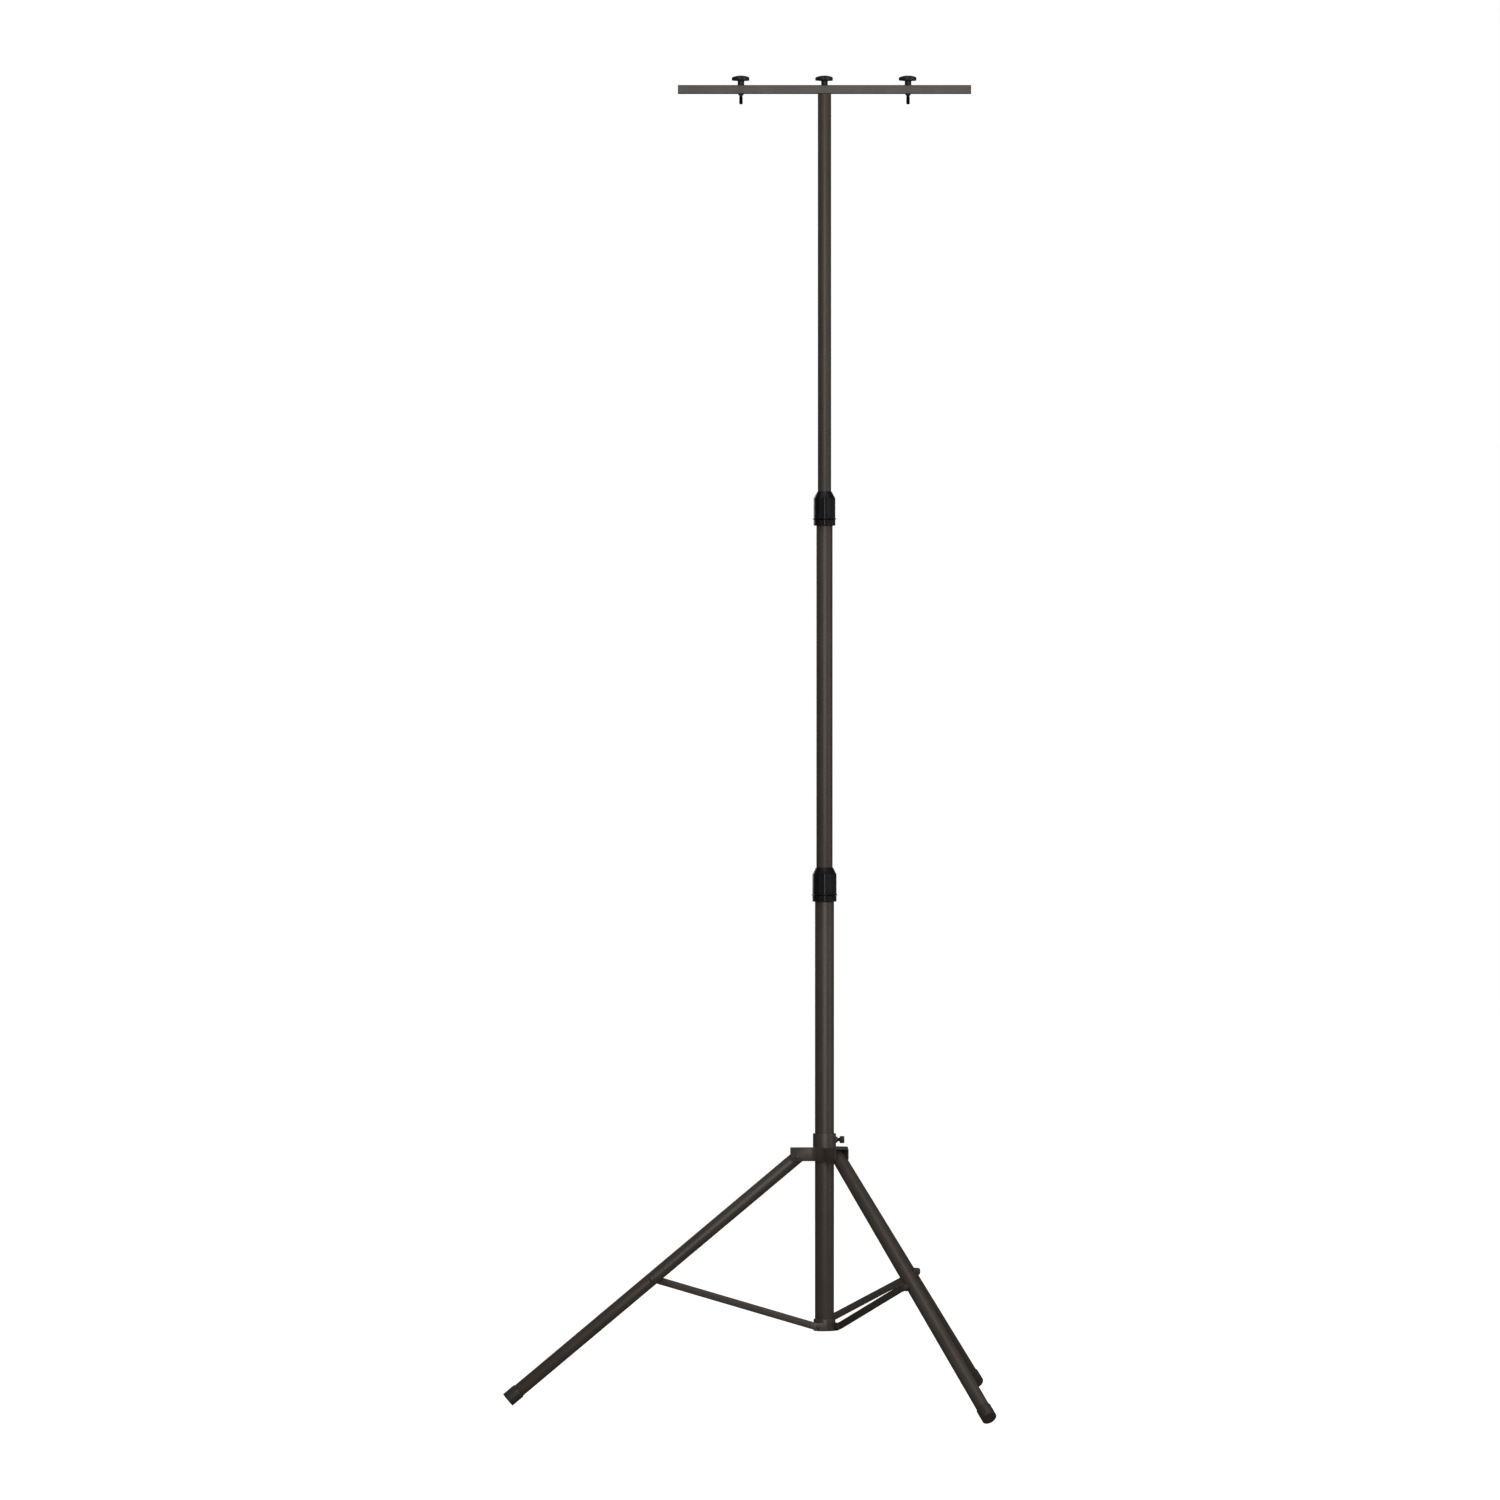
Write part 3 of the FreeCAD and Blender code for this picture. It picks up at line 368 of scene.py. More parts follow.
def reshape(mesh: bmesh.types.BMesh, move: Callable[[Vector], Vector]) -> bmesh.types.BMesh:
    """Move every vertex of a mesh by a rule.

    Args:
        mesh: The mesh, changed in place.
        move: Rule from an old place to a new one.

    Returns:
        The same mesh.
    """
    for vertex in mesh.verts:
        vertex.co = move(vertex.co)
    return mesh


class Bench:
    """Turns finished meshes into pieces of the stand and reports them."""

    @staticmethod
    def put(name: str, mesh: bmesh.types.BMesh, coating: Coating, body: str, nodes: Sequence[str],
            place: Matrix | None = None) -> bpy.types.Object:
        """Make one piece and let it ride on its body.

        Args:
            name: Name of the piece.
            mesh: Its mesh in millimetres, freed here.
            coating: Its finish.
            body: The body that it moves with.
            nodes: The solids that it stands for.
            place: From the sub-assembly's millimetres to the stand's own.

        Returns:
            The piece.
        """
        if place is not None:
            bmesh.ops.transform(mesh, matrix=place, verts=mesh.verts)
        bmesh.ops.scale(mesh, vec=(MM, MM, MM), verts=mesh.verts)
        for face in mesh.faces:
            face.smooth = True
        for edge in mesh.edges:
            edge.smooth = len(edge.link_faces) != 2 or edge.calc_face_angle(0) < SHARP_ANGLE
        data = bpy.data.meshes.new(name)
        mesh.to_mesh(data)
        mesh.free()
        data.materials.append(coating.value.material())
        piece = bpy.data.objects.new(name, data)
        bpy.context.scene.collection.objects.link(piece)
        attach(piece, body)
        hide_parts(*nodes)
        Bench.slot_of(nodes[0])
        log.info("%s: %d faces on %s", name, len(data.polygons), body)
        return piece

    @staticmethod
    def slot_of(node: str) -> str:
        """Find the material slot that the record gives a node."""
        rows = frame["record"]["subparts"]
        return next(row["material_slot"] for row in rows if row["node"] == node)

    @staticmethod
    def coat(node: str, coating: Coating) -> None:
        """Give a solid that stays as it is a better material.

        Args:
            node: The solid's name.
            coating: Its finish.
        """
        item = frame["nodes"][node]
        item.data.materials.clear()
        item.data.materials.append(coating.value.material())
        log.info("%s keeps its own shape", node)


@dataclass(frozen=True)
class Span:
    """Where one solid starts and ends, in millimetres."""

    low: Vector
    high: Vector

    @classmethod
    def of(cls, node: str) -> "Span":
        """Read a solid's box."""
        low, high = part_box(node)
        return cls(low / MM, high / MM)

    @property
    def centre(self) -> Vector:
        """Give the box's centre."""
        return (self.low + self.high) / 2

    @property
    def radius(self) -> float:
        """Give half the box's width along X."""
        return (self.high.x - self.low.x) / 2


def joint_frame(joint: str, towards: Vector) -> Matrix:
    """Give the frame of a folding piece: origin on its hinge, X towards a point, Y along the pin.

    Args:
        joint: Name of the hinge.
        towards: A point off the hinge, in millimetres.

    Returns:
        The frame, in millimetres.
    """
    row = next(item for item in frame["joints"] if item["name"] == joint)
    origin = Vector(row["pos_m"]) / MM
    pin = Vector(row["axis"]).normalized()
    reach = towards - origin
    reach -= pin * reach.dot(pin)
    along = reach.normalized()
    up = along.cross(pin)
    turn = Matrix((along, pin, up)).transposed().to_4x4()
    return Matrix.Translation(origin) @ turn


# --- Mast --------------------------------------------------------------------------------------


def round_tube(radius: float, wall: float, low: float, high: float,
               edge: float = 0.35) -> bmesh.types.BMesh:
    """Make a round tube along Z with softened ends.

    Args:
        radius: Outer radius.
        wall: Wall thickness.
        low: Height of the lower end.
        high: Height of the upper end.
        edge: Rounding of the ends.

    Returns:
        The tube.
    """
    inner = radius - wall
    return soften(lathe(((inner, low), (radius, low), (radius, high), (inner, high))), edge, 2)


@dataclass
class Mast:
    """The three telescoping tubes with the strut ring at the foot."""

    wall: float = 1.5
    ring_round: float = 0.8
    lug_plate: float = 3.0
    lug_round: float = 8.7
    lug_out: float = 12.9
    arc_steps: int = 14
    face_gap: float = 0.3
    shank: float = 3.0
    rivet_head: float = 4.5
    rivet_rise: float = 2.2

    def build(self) -> None:
        """Build the tubes and the ring."""
        for node, body in (("lower_tube", "mast_base"), ("mid_tube", "mid_mast"),
                           ("top_tube", "top_mast")):
            span = Span.of(node)
            tube = round_tube(span.radius, self.wall, span.low.z, span.high.z)
            Bench.put(f"{node}_skin", tube, Coating.UMBER_POWDER, body, [node])
        self.build_ring()
        self.build_rivets()
        for node in ("mast_plug", "mid_bush", "top_bush", "lower_lock_collet",
                     "upper_lock_collet"):
            Bench.coat(node, Coating.BLACK_KNOB)
        Bench.coat("mast_insert", Coating.ZINC_PLATE)

    def build_ring(self) -> None:
        """Build the ring and its three tangential lugs."""
        span = Span.of("strut_ring")
        low, high = span.low.z, span.high.z
        outer = -span.low.x
        inner = Span.of("lower_tube").radius
        ring = soften(lathe(((inner, low), (outer, low), (outer, high), (inner, high))),
                      self.ring_round, 3)
        for turn in range(3):
            place = Matrix.Rotation(FULL_TURN * turn / 3 + math.pi, 4, "Z")
            lift = Matrix.Translation((0, outer, low + self.lug_round))
            stand = Matrix.Rotation(math.pi / 2, 4, "X")
            add_mesh(ring, self.lug(), place @ lift @ stand)
        Bench.put("strut_ring_skin", ring, Coating.UMBER_POWDER_THICK, "mast_base", ["strut_ring"])

    def lug(self) -> bmesh.types.BMesh:
        """Make one lug, flat in XY, with its round nose towards X.

        Returns:
            The lug.
        """
        outline = [(0.0, -self.lug_round)]
        for step in range(self.arc_steps + 1):
            angle = math.pi * (step / self.arc_steps - 0.5)
            outline.append((self.lug_out + self.lug_round * math.cos(angle),
                            self.lug_round * math.sin(angle)))
        outline.append((0.0, self.lug_round))
        return soften(prism(outline, 0.0, self.lug_plate), 0.4, 2)

    def build_rivets(self) -> None:
        """Build the three rivets that carry the struts' lower ends."""
        rivets = bmesh.new()
        for leg in (1, 2, 3):
            place = strut_frame(leg)
            root = Span.of("lower_tube").radius - self.wall
            face = across("strut_1_bar")[1] + self.face_gap
            outline = [(0.0, root), (self.shank, root), (self.shank, face),
                       (self.rivet_head, face)]
            outline += dome_points(self.rivet_head, self.rivet_rise, face + 0.2)
            pin = lathe(outline, PIN_STEPS, closed=False)
            add_mesh(rivets, pin, place @ Matrix.Rotation(-math.pi / 2, 4, "X"))
        Bench.put("ring_rivets_skin", rivets, Coating.UMBER_POWDER_THICK, "mast_base",
                  ["ring_rivets"])


def across(node: str) -> tuple[float, float]:
    """Give where a solid of leg 1 lies across it, which runs along -X; all legs are alike."""
    span = Span.of(node)
    return -span.high.y, -span.low.y


def strut_frame(leg: int) -> Matrix:
    """Give a strut's frame: origin on its lower pivot, X along the strut."""
    row = next(item for item in frame["joints"] if item["name"] == f"strut_{leg}_fold")
    place = joint_frame(row["name"], Span.of(f"strut_{leg}_spacer").centre)
    # The fold's axis points to the leg's right-hand side; the strut's own Y points to the left.
    return place @ Matrix.Rotation(math.pi, 4, "X")


def leg_frame(leg: int) -> Matrix:
    """Give a leg's frame: origin on its hinge, X along the leg, Y along the pin."""
    return joint_frame(f"leg_{leg}_fold", Span.of(f"leg_{leg}_tube").centre)


# --- Twist locks -------------------------------------------------------------------------------


@dataclass
class TwistLock:
    """One twist lock: a fixed sleeve under a nut with shallow grip flutes."""

    name: str
    base_body: str
    nut_body: str
    tube: str
    flutes: int = 12
    flute_depth: float = 0.7
    ridge: float = 0.16
    taper: float = 13.5
    brim: float = 3.0
    lip: float = 0.9
    shelf_gap: float = 0.3
    neck_wall: float = 2.0
    nut_wall: float = 2.6

    def build(self) -> None:
        """Build the sleeve and the nut."""
        sleeve = Span.of(f"{self.name}_lock_sleeve")
        nut = Span.of(f"{self.name}_lock_nut")
        inner = Span.of(self.tube).radius
        side = sleeve.radius
        self.build_sleeve(sleeve, nut, side)
        self.build_nut(nut, side, inner)

    def flute(self, side: float) -> Callable[[Vector], Vector]:
        """Give the rule that presses the flutes into the side of a lock.

        Args:
            side: Radius of the plain side.

        Returns:
            Rule from an old place to a new one.
        """
        pitch = FULL_TURN / self.flutes

        def move(spot: Vector) -> Vector:
            radius = math.hypot(spot.x, spot.y)
            if radius < side - 1.5 or radius > side + 0.1:
                return spot
            angle = math.atan2(spot.y, spot.x)
            across = abs((angle / pitch) % 1.0 - 0.5) * 2
            hollow = max(0.0, 1 - (across / (1 - self.ridge)) ** 2)
            scale = (radius - self.flute_depth * hollow) / radius
            return Vector((spot.x * scale, spot.y * scale, spot.z))

        return move

    def build_sleeve(self, sleeve: Span, nut: Span, side: float) -> None:
        """Build the fixed sleeve, whose fluted skirt shows below the nut.

        Args:
            sleeve: Box of the sleeve.
            nut: Box of the nut.
            side: Radius of the lock.
        """
        low = sleeve.low.z
        shelf = nut.low.z - self.shelf_gap
        outer_tube = {"lower": "lower_tube", "upper": "mid_tube"}[self.name]
        bore = Span.of(outer_tube).radius
        neck = bore + self.neck_wall
        outline = [(bore + 0.02, low + 0.6), (bore + 0.6, low), (side - 1.0, low),
                   (side, low + 1.0), (side, shelf - 0.4), (side - 0.4, shelf), (neck, shelf),
                   (neck, sleeve.high.z), (bore + 0.02, sleeve.high.z)]
        skirt = reshape(lathe(outline, FLUTE_STEPS), self.flute(side))
        Bench.put(f"{self.name}_lock_sleeve_skin", skirt, Coating.BLACK_NYLON, self.base_body,
                  [f"{self.name}_lock_sleeve"])

    def build_nut(self, nut: Span, side: float, inner: float) -> None:
        """Build the nut: brim, fluted grip and conical top.

        Args:
            nut: Box of the nut.
            side: Radius of the grip.
            inner: Radius of the tube that slides in it.
        """
        low, top = nut.low.z, nut.high.z
        edge = nut.radius
        mouth = inner + 0.3
        shoulder = top - self.taper
        thread = side - self.nut_wall
        outline = [(thread, low), (side, low), (edge - 0.3, low + 1.1), (edge, low + 1.3),
                   (edge, low + 1.7), (edge - 0.3, low + 1.9), (side + 0.3, low + self.brim),
                   (side, low + self.brim + 0.4), (side, shoulder - 1.4),
                   (side - 0.35, shoulder - 0.2), (side - 1.0, shoulder + 0.9),
                   (mouth + self.lip + 0.3, top - 0.8), (mouth + self.lip - 0.3, top),
                   (mouth + 0.2, top), (mouth, top - 0.3), (mouth, top - 14.0),
                   (thread, top - 34.0)]
        grip = reshape(lathe(outline, FLUTE_STEPS), self.flute(side))
        Bench.put(f"{self.name}_lock_nut_skin", grip, Coating.BLACK_NYLON, self.nut_body,
                  [f"{self.name}_lock_nut"])


# --- Hub ---------------------------------------------------------------------------------------


@dataclass
class Hub:
    """The sliding sleeve with the pressed leg spider, its rivets and the clamp screw."""

    plate: float = 2.0
    half_wing: float = 16.5
    blend: float = 22.0
    arc_steps: int = 12
    bend: float = 2.2
    corner: float = 8.0
    weld: float = 1.4
    weld_root: float = 0.4
    sleeve_gap: float = 0.3
    boss_step: float = 1.5
    boss_tip: float = 6.0
    knurls: int = 24
    knurl_depth: float = 0.45
    pin: float = 3.25
    rivet_head: float = 4.9
    rivet_rise: float = 2.0

    def build(self) -> None:
        """Build every piece of the hub."""
        self.build_sleeve()
        self.build_spider()
        self.build_boss()
        self.build_hinge_rivets()
        self.build_screw()

    def build_sleeve(self) -> None:
        """Build the sleeve, with the weld that joins it to the spider."""
        span = Span.of("hub_sleeve")
        bore = Span.of("lower_tube").radius + self.sleeve_gap
        sleeve = soften(lathe(((bore, span.low.z), (span.radius, span.low.z),
                               (span.radius, span.high.z), (bore, span.high.z))), 0.6, 3)
        top = Span.of("leg_spider").high.z
        fillet = []
        for step in range(self.arc_steps + 1):
            angle = math.pi / 2 * step / self.arc_steps
            fillet.append((span.radius + self.weld * (1 - math.sin(angle)),
                           top + self.weld * (1 - math.cos(angle))))
        root = span.radius - self.weld_root
        outline = [(root, top - self.weld_root), *fillet, (root, top + self.weld)]
        add_mesh(sleeve, lathe(outline))
        Bench.put("hub_sleeve_skin", sleeve, Coating.UMBER_POWDER, "hub", ["hub_sleeve"])

    def star_outline(self, reach: float, skirt: float) -> list[tuple[float, float]]:
        """Give the spider's outline in plan: three wings joined round the sleeve.

        Args:
            reach: Axis to the end of a wing.
            skirt: Radius of the skirt between the wings.

        Returns:
            Points, anticlockwise, starting at a wing's end.
        """
        run = self.half_wing + self.blend
        middle = math.sqrt((skirt + self.blend) ** 2 - run ** 2)
        tangent = math.atan2(run, middle)
        wing = [(reach, -self.half_wing), (reach, self.half_wing)]
        for step in range(self.arc_steps + 1):
            angle = -math.pi / 2 + (tangent - math.pi / 2) * step / self.arc_steps
            wing.append((middle + self.blend * math.cos(angle), run + self.blend * math.sin(angle)))
        round_to = FULL_TURN / 3 - tangent
        for step in range(1, self.arc_steps):
            angle = tangent + (round_to - tangent) * step / self.arc_steps
            wing.append((skirt * math.cos(angle), skirt * math.sin(angle)))
        back = []
        for x, y in wing[2:3 + self.arc_steps]:
            flipped = Matrix.Rotation(FULL_TURN / 3, 2) @ Vector((x, -y))
            back.append((flipped.x, flipped.y))
        wing += reversed(back)
        outline = []
        for turn in range(3):
            spin = Matrix.Rotation(FULL_TURN * turn / 3 + math.pi, 2)
            outline += [tuple(spin @ Vector(point)) for point in wing]
        return outline

    def build_spider(self) -> None:
        """Build the spider: web, bent skirt and open wing ends, in one thickness of sheet."""
        span = Span.of("leg_spider")
        reach = -span.low.x
        bore = Span.of("hub_sleeve").radius
        top = span.high.z
        shell = bmesh.new()
        outline = self.star_outline(reach, bore + self.plate)
        rim = [shell.verts.new((x, y, top)) for x, y in outline]
        sides = [shell.edges.new(pair) for pair in zip(rim, rim[1:] + rim[:1])]
        inward = bmesh.ops.extrude_edge_only(shell, edges=sides)
        for item in inward["geom"]:
            if isinstance(item, bmesh.types.BMVert):
                item.co.xy = item.co.xy.normalized() * bore
        dropped = bmesh.ops.extrude_edge_only(shell, edges=sides)
        lower = [item for item in dropped["geom"] if isinstance(item, bmesh.types.BMVert)]
        bmesh.ops.translate(shell, verts=lower, vec=(0, 0, span.low.z - top))
        bmesh.ops.recalc_face_normals(shell, faces=shell.faces[:])
        ends = [face for face in shell.faces
                if all(math.hypot(v.co.x, v.co.y) > reach - 0.01 for v in face.verts)]
        bmesh.ops.delete(shell, geom=ends, context="FACES_ONLY")
        loose = [edge for edge in shell.edges if not edge.link_faces]
        bmesh.ops.delete(shell, geom=loose, context="EDGES")
        tips = [v for v in shell.verts
                if v.co.z < span.low.z + 0.01 and math.hypot(v.co.x, v.co.y) > reach - 0.01]
        bmesh.ops.bevel(shell, geom=tips, offset=self.corner, offset_type="OFFSET",
                        affect="VERTICES", segments=8, profile=0.5, material=-1,
                        clamp_overlap=True)
        folds = [edge for edge in shell.edges
                 if len(edge.link_faces) == 2 and edge.calc_face_angle(0) > 1.0
                 and edge.verts[0].co.z > top - 0.01 and edge.verts[1].co.z > top - 0.01]
        bmesh.ops.bevel(shell, geom=folds, offset=self.bend, offset_type="OFFSET", affect="EDGES",
                        segments=4, profile=0.5, material=-1, clamp_overlap=True)
        mend(shell)
        piece = Bench.put("leg_spider_skin", shell, Coating.UMBER_POWDER_THICK, "hub",
                          ["leg_spider"])
        thick = piece.modifiers.new("sheet", "SOLIDIFY")
        thick.thickness = self.plate * MM
        thick.offset = -1.0
        thick.use_even_offset = True
        edge = piece.modifiers.new("edge", "BEVEL")
        edge.width = 0.3 * MM
        edge.segments = 2
        edge.limit_method = "ANGLE"
        edge.angle_limit = math.radians(60)

    def build_boss(self) -> None:
        """Build the weld nut on the sleeve's side, with its weld."""
        span = Span.of("screw_boss")
        bore = Span.of("clamp_screw_stud").high.z - Span.of("clamp_screw_stud").low.z
        hole = bore / 2 + 0.1
        wide = (span.high.z - span.low.z) / 2
        root, tip = span.low.x, span.high.x
        outline = ((hole, root), (wide, root), (wide, root + self.boss_step),
                   (self.boss_tip, tip), (hole, tip))
        boss = soften(lathe(outline, PIN_STEPS), 0.4, 2)
        place = Matrix.Translation((0, 0, span.centre.z)) @ Matrix.Rotation(math.pi / 2, 4, "Y")
        Bench.put("screw_boss_skin", boss, Coating.UMBER_POWDER_THICK, "hub", ["screw_boss"],
                  place)

    def build_hinge_rivets(self) -> None:
        """Build the three domed rivets that the legs fold on."""
        rivets = bmesh.new()
        end = self.half_wing
        head = [(self.pin, end), (self.rivet_head, end)]
        head += dome_points(self.rivet_head, self.rivet_rise - 0.3, end + 0.3)
        outline = [(radius, -height) for radius, height in reversed(head)] + head
        for leg in (1, 2, 3):
            rivet = lathe(outline, PIN_STEPS, closed=False)
            add_mesh(rivets, rivet, leg_frame(leg) @ Matrix.Rotation(math.pi / 2, 4, "X"))
        Bench.put("hinge_rivets_skin", rivets, Coating.UMBER_POWDER_THICK, "hub",
                  ["leg_hinge_pins"])

    def build_screw(self) -> None:
        """Build the clamp screw: threaded stud and knurled head."""
        stud = Span.of("clamp_screw_stud")
        head = Span.of("clamp_screw_head")
        radius = (stud.high.z - stud.low.z) / 2
        place = Matrix.Translation((0, 0, stud.centre.z)) @ Matrix.Rotation(math.pi / 2, 4, "Y")
        thread = threaded_rod(radius, stud.low.x, stud.high.x, blunt=0.8)
        Bench.put("clamp_screw_stud_skin", thread, Coating.BLACK_OXIDE_STEEL, "clamp_screw",
                  ["clamp_screw_stud"], place)
        wide = (head.high.z - head.low.z) / 2
        near, far = head.low.x, head.high.x
        outline = [(0.0, near), (radius + 1.0, near), (wide - 1.2, near), (wide, near + 1.0)]
        outline += [(wide, near + (far - near) * k / 4) for k in (1, 2, 3)]
        outline += [(wide, far - 1.0), (wide - 1.0, far), (radius, far), (radius - 1.0, far - 0.5),
                    (0.0, far - 0.5)]
        knob = lathe(outline, self.knurls * 8, closed=False)

        def knurl(spot: Vector) -> Vector:
            radius_now = math.hypot(spot.x, spot.y)
            if radius_now < wide - 0.1:
                return spot
            across = abs((math.atan2(spot.y, spot.x) / FULL_TURN * self.knurls) % 1.0 - 0.5) * 2
            scale = (radius_now - self.knurl_depth * across ** 2) / radius_now
            return Vector((spot.x * scale, spot.y * scale, spot.z))

        reshape(knob, knurl)
        Bench.put("clamp_screw_head_skin", knob, Coating.BLACK_KNOB, "clamp_screw",
                  ["clamp_screw_head"], place)


def threaded_rod(radius: float, low: float, high: float, blunt: float,
                 pitch: float = M8_PITCH) -> bmesh.types.BMesh:
    """Make a rod along Z with thread rings and blunted ends.

    Args:
        radius: Outer radius of the thread.
        low: Height of the lower end.
        high: Height of the upper end.
        blunt: Chamfer at each end.
        pitch: Distance from crest to crest.

    Returns:
        The rod.
    """
    root = radius - 0.54 * pitch
    outline = [(0.0, low), (radius - blunt, low), (radius, low + blunt)]
    turns = int((high - low - 2 * blunt) / pitch)
    for turn in range(turns):
        start = low + blunt + turn * pitch
        outline += [(radius, start + 0.1 * pitch), (root, start + 0.45 * pitch),
                    (root, start + 0.6 * pitch), (radius, start + 0.95 * pitch)]
    outline += [(radius, high - blunt), (radius - blunt, high), (0.0, high)]
    return lathe(outline, ROD_STEPS, closed=False)


# --- Legs and struts ---------------------------------------------------------------------------


@dataclass
class Leg:
    """One leg: round tube, foot cap and its half of the strut rivet."""

    number: int
    radius: float = 14.0
    wall: float = 1.5
    overhang: float = 8.0
    cap_radius: float = 15.75
    cap_length: float = 30.0
    cap_floor: float = 3.0
    cap_edge: float = 0.8
    rivet_head: float = 6.0
    rivet_rise: float = 2.4
    shank: float = 4.0

    def build(self) -> None:
        """Build the leg's pieces."""
        place = leg_frame(self.number)
        along = place @ Matrix.Rotation(math.pi / 2, 4, "Y")
        inverse = place.inverted()
        cap_middle = (inverse @ Span.of(f"leg_{self.number}_cap").centre).x
        end = cap_middle + self.cap_length / 2
        body = f"leg_{self.number}"
        tube = round_tube(self.radius, self.wall, -self.overhang, end - self.cap_floor)
        Bench.put(f"leg_{self.number}_tube_skin", tube, Coating.UMBER_POWDER, body,
                  [f"leg_{self.number}_tube"], along)
        Bench.put(f"leg_{self.number}_cap_skin", self.cap(end), Coating.UMBER_POLYETHYLENE, body,
                  [f"leg_{self.number}_cap"], along)
        rivet_spot = inverse @ Span.of(f"leg_{self.number}_rivet").centre
        lift = Matrix.Translation((rivet_spot.x, 0, 0)) @ Matrix.Rotation(-math.pi / 2, 4, "X")
        Bench.put(f"leg_{self.number}_rivet_skin", self.rivet(), Coating.UMBER_POWDER_THICK, body,
                  [f"leg_{self.number}_rivet"], place @ lift)

    def cap(self, end: float) -> bmesh.types.BMesh:
        """Make the foot cap, a cup with a rounded mouth and a flat end.

        Args:
            end: Hinge to the end of the cap.

        Returns:
            The cap.
        """
        bore = self.radius + 0.03
        mouth = end - self.cap_length
        floor = end - self.cap_floor
        outline = ((0.0, end), (self.cap_radius, end), (self.cap_radius, mouth), (bore, mouth),
                   (bore, floor), (0.0, floor))
        cup = lathe(outline, ROUND_STEPS, closed=False)
        return soften(cup, self.cap_edge, 4, lambda edge: edge.verts[0].co.xy.length > bore + 0.5)

    def rivet(self) -> bmesh.types.BMesh:
        """Make the domed rivet, along Z from the leg's near side to its head.

        Returns:
            The rivet.
        """
        near = -self.radius + 0.1
        face = self.radius - 0.6
        outline = [(0.0, near), (self.shank, near), (self.shank, face), (self.rivet_head, face)]
        outline += dome_points(self.rivet_head, self.rivet_rise - 0.4, self.radius + 0.4)
        return lathe(outline, PIN_STEPS, closed=False)


@dataclass
class Strut:
    """One strut: a flat bar with round ends, its spacer and its half of the upper rivet."""

    number: int
    half_width: float = 7.75
    plate: float = 3.0
    low_flat: float = 13.0
    high_flat: float = 13.0
    bend_run: float = 5.0
    edge: float = 0.6
    arc_steps: int = 16
    spacer_radius: float = 8.0
    rivet_head: float = 6.0
    rivet_rise: float = 2.4
    shank: float = 4.0

    def build(self) -> None:
        """Build the strut's pieces."""
        place = strut_frame(self.number)
        inverse = place.inverted()
        length = (inverse @ Span.of(f"strut_{self.number}_spacer").centre).x
        low, high = across("strut_1_spacer")
        body = f"strut_{self.number}"
        Bench.put(f"strut_{self.number}_bar_skin", self.bar(length), Coating.UMBER_POWDER_THICK,
                  body, [f"strut_{self.number}_bar"], place)
        stand = Matrix.Translation((length, 0, 0)) @ Matrix.Rotation(-math.pi / 2, 4, "X")
        shank = self.shank + 0.05
        ring = soften(lathe(((shank, low), (self.spacer_radius, low), (self.spacer_radius, high),
                             (shank, high)), 64), 0.5, 2)
        Bench.put(f"strut_{self.number}_spacer_skin", ring, Coating.UMBER_POLYETHYLENE, body,
                  [f"strut_{self.number}_spacer"], place @ stand)
        face = across("strut_1_bar")[0] - 0.05
        outline = [(0.0, -high), (self.shank, -high), (self.shank, -face),
                   (self.rivet_head, -face)]
        outline += dome_points(self.rivet_head, self.rivet_rise - 0.4, -face + 0.4)
        flip = Matrix.Translation((length, 0, 0)) @ Matrix.Rotation(math.pi / 2, 4, "X")
        rivet = lathe(outline, PIN_STEPS, closed=False)
        Bench.put(f"strut_{self.number}_rivet_skin", rivet, Coating.UMBER_POWDER_THICK, body,
                  [f"strut_{self.number}_rivet"], place @ flip)

    def bar(self, length: float) -> bmesh.types.BMesh:
        """Make the flat bar, bent twice so that it crosses from the lug to the spacer.

        Args:
            length: Between the two pivots.

        Returns:
            The bar.
        """
        outline = []
        for centre, start in ((length, -math.pi / 2), (0.0, math.pi / 2)):
            for step in range(self.arc_steps + 1):
                angle = start + math.pi * step / self.arc_steps
                outline.append((centre + self.half_width * math.cos(angle),
                                self.half_width * math.sin(angle)))
        flat = soften(prism(outline, -self.plate / 2, self.plate / 2), self.edge, 3)
        for bend in (self.low_flat, length - self.high_flat):
            for step in range(-5, 6):
                cut = bend + self.bend_run * step / 5
                bmesh.ops.bisect_plane(flat, geom=flat.verts[:] + flat.edges[:] + flat.faces[:],
                                       dist=MERGE, plane_co=(cut, 0, 0), plane_no=(1, 0, 0))
        far, near = across("strut_1_bar")
        low = near - self.plate / 2
        high = far + self.plate / 2
        slope = (high - low) / (length - self.low_flat - self.high_flat)

        def crank(spot: Vector) -> Vector:
            shift = low + slope * self.ramp(spot.x, self.low_flat)
            shift -= slope * self.ramp(spot.x, length - self.high_flat)
            return Vector((spot.x, shift + spot.z, spot.y))

        reshape(flat, crank)
        return mend(flat)

    def ramp(self, along: float, bend: float) -> float:
        """Give how far a point is past a bend, rounded over the bend's run.

        Args:
            along: The point's place along the strut.
            bend: The bend's place.

        Returns:
            Zero before the bend, the distance past it after.
        """
        if along <= bend - self.bend_run:
            return 0.0
        if along >= bend + self.bend_run:
            return along - bend
        return (along - bend + self.bend_run) ** 2 / (4 * self.bend_run)


# --- T-bar -------------------------------------------------------------------------------------


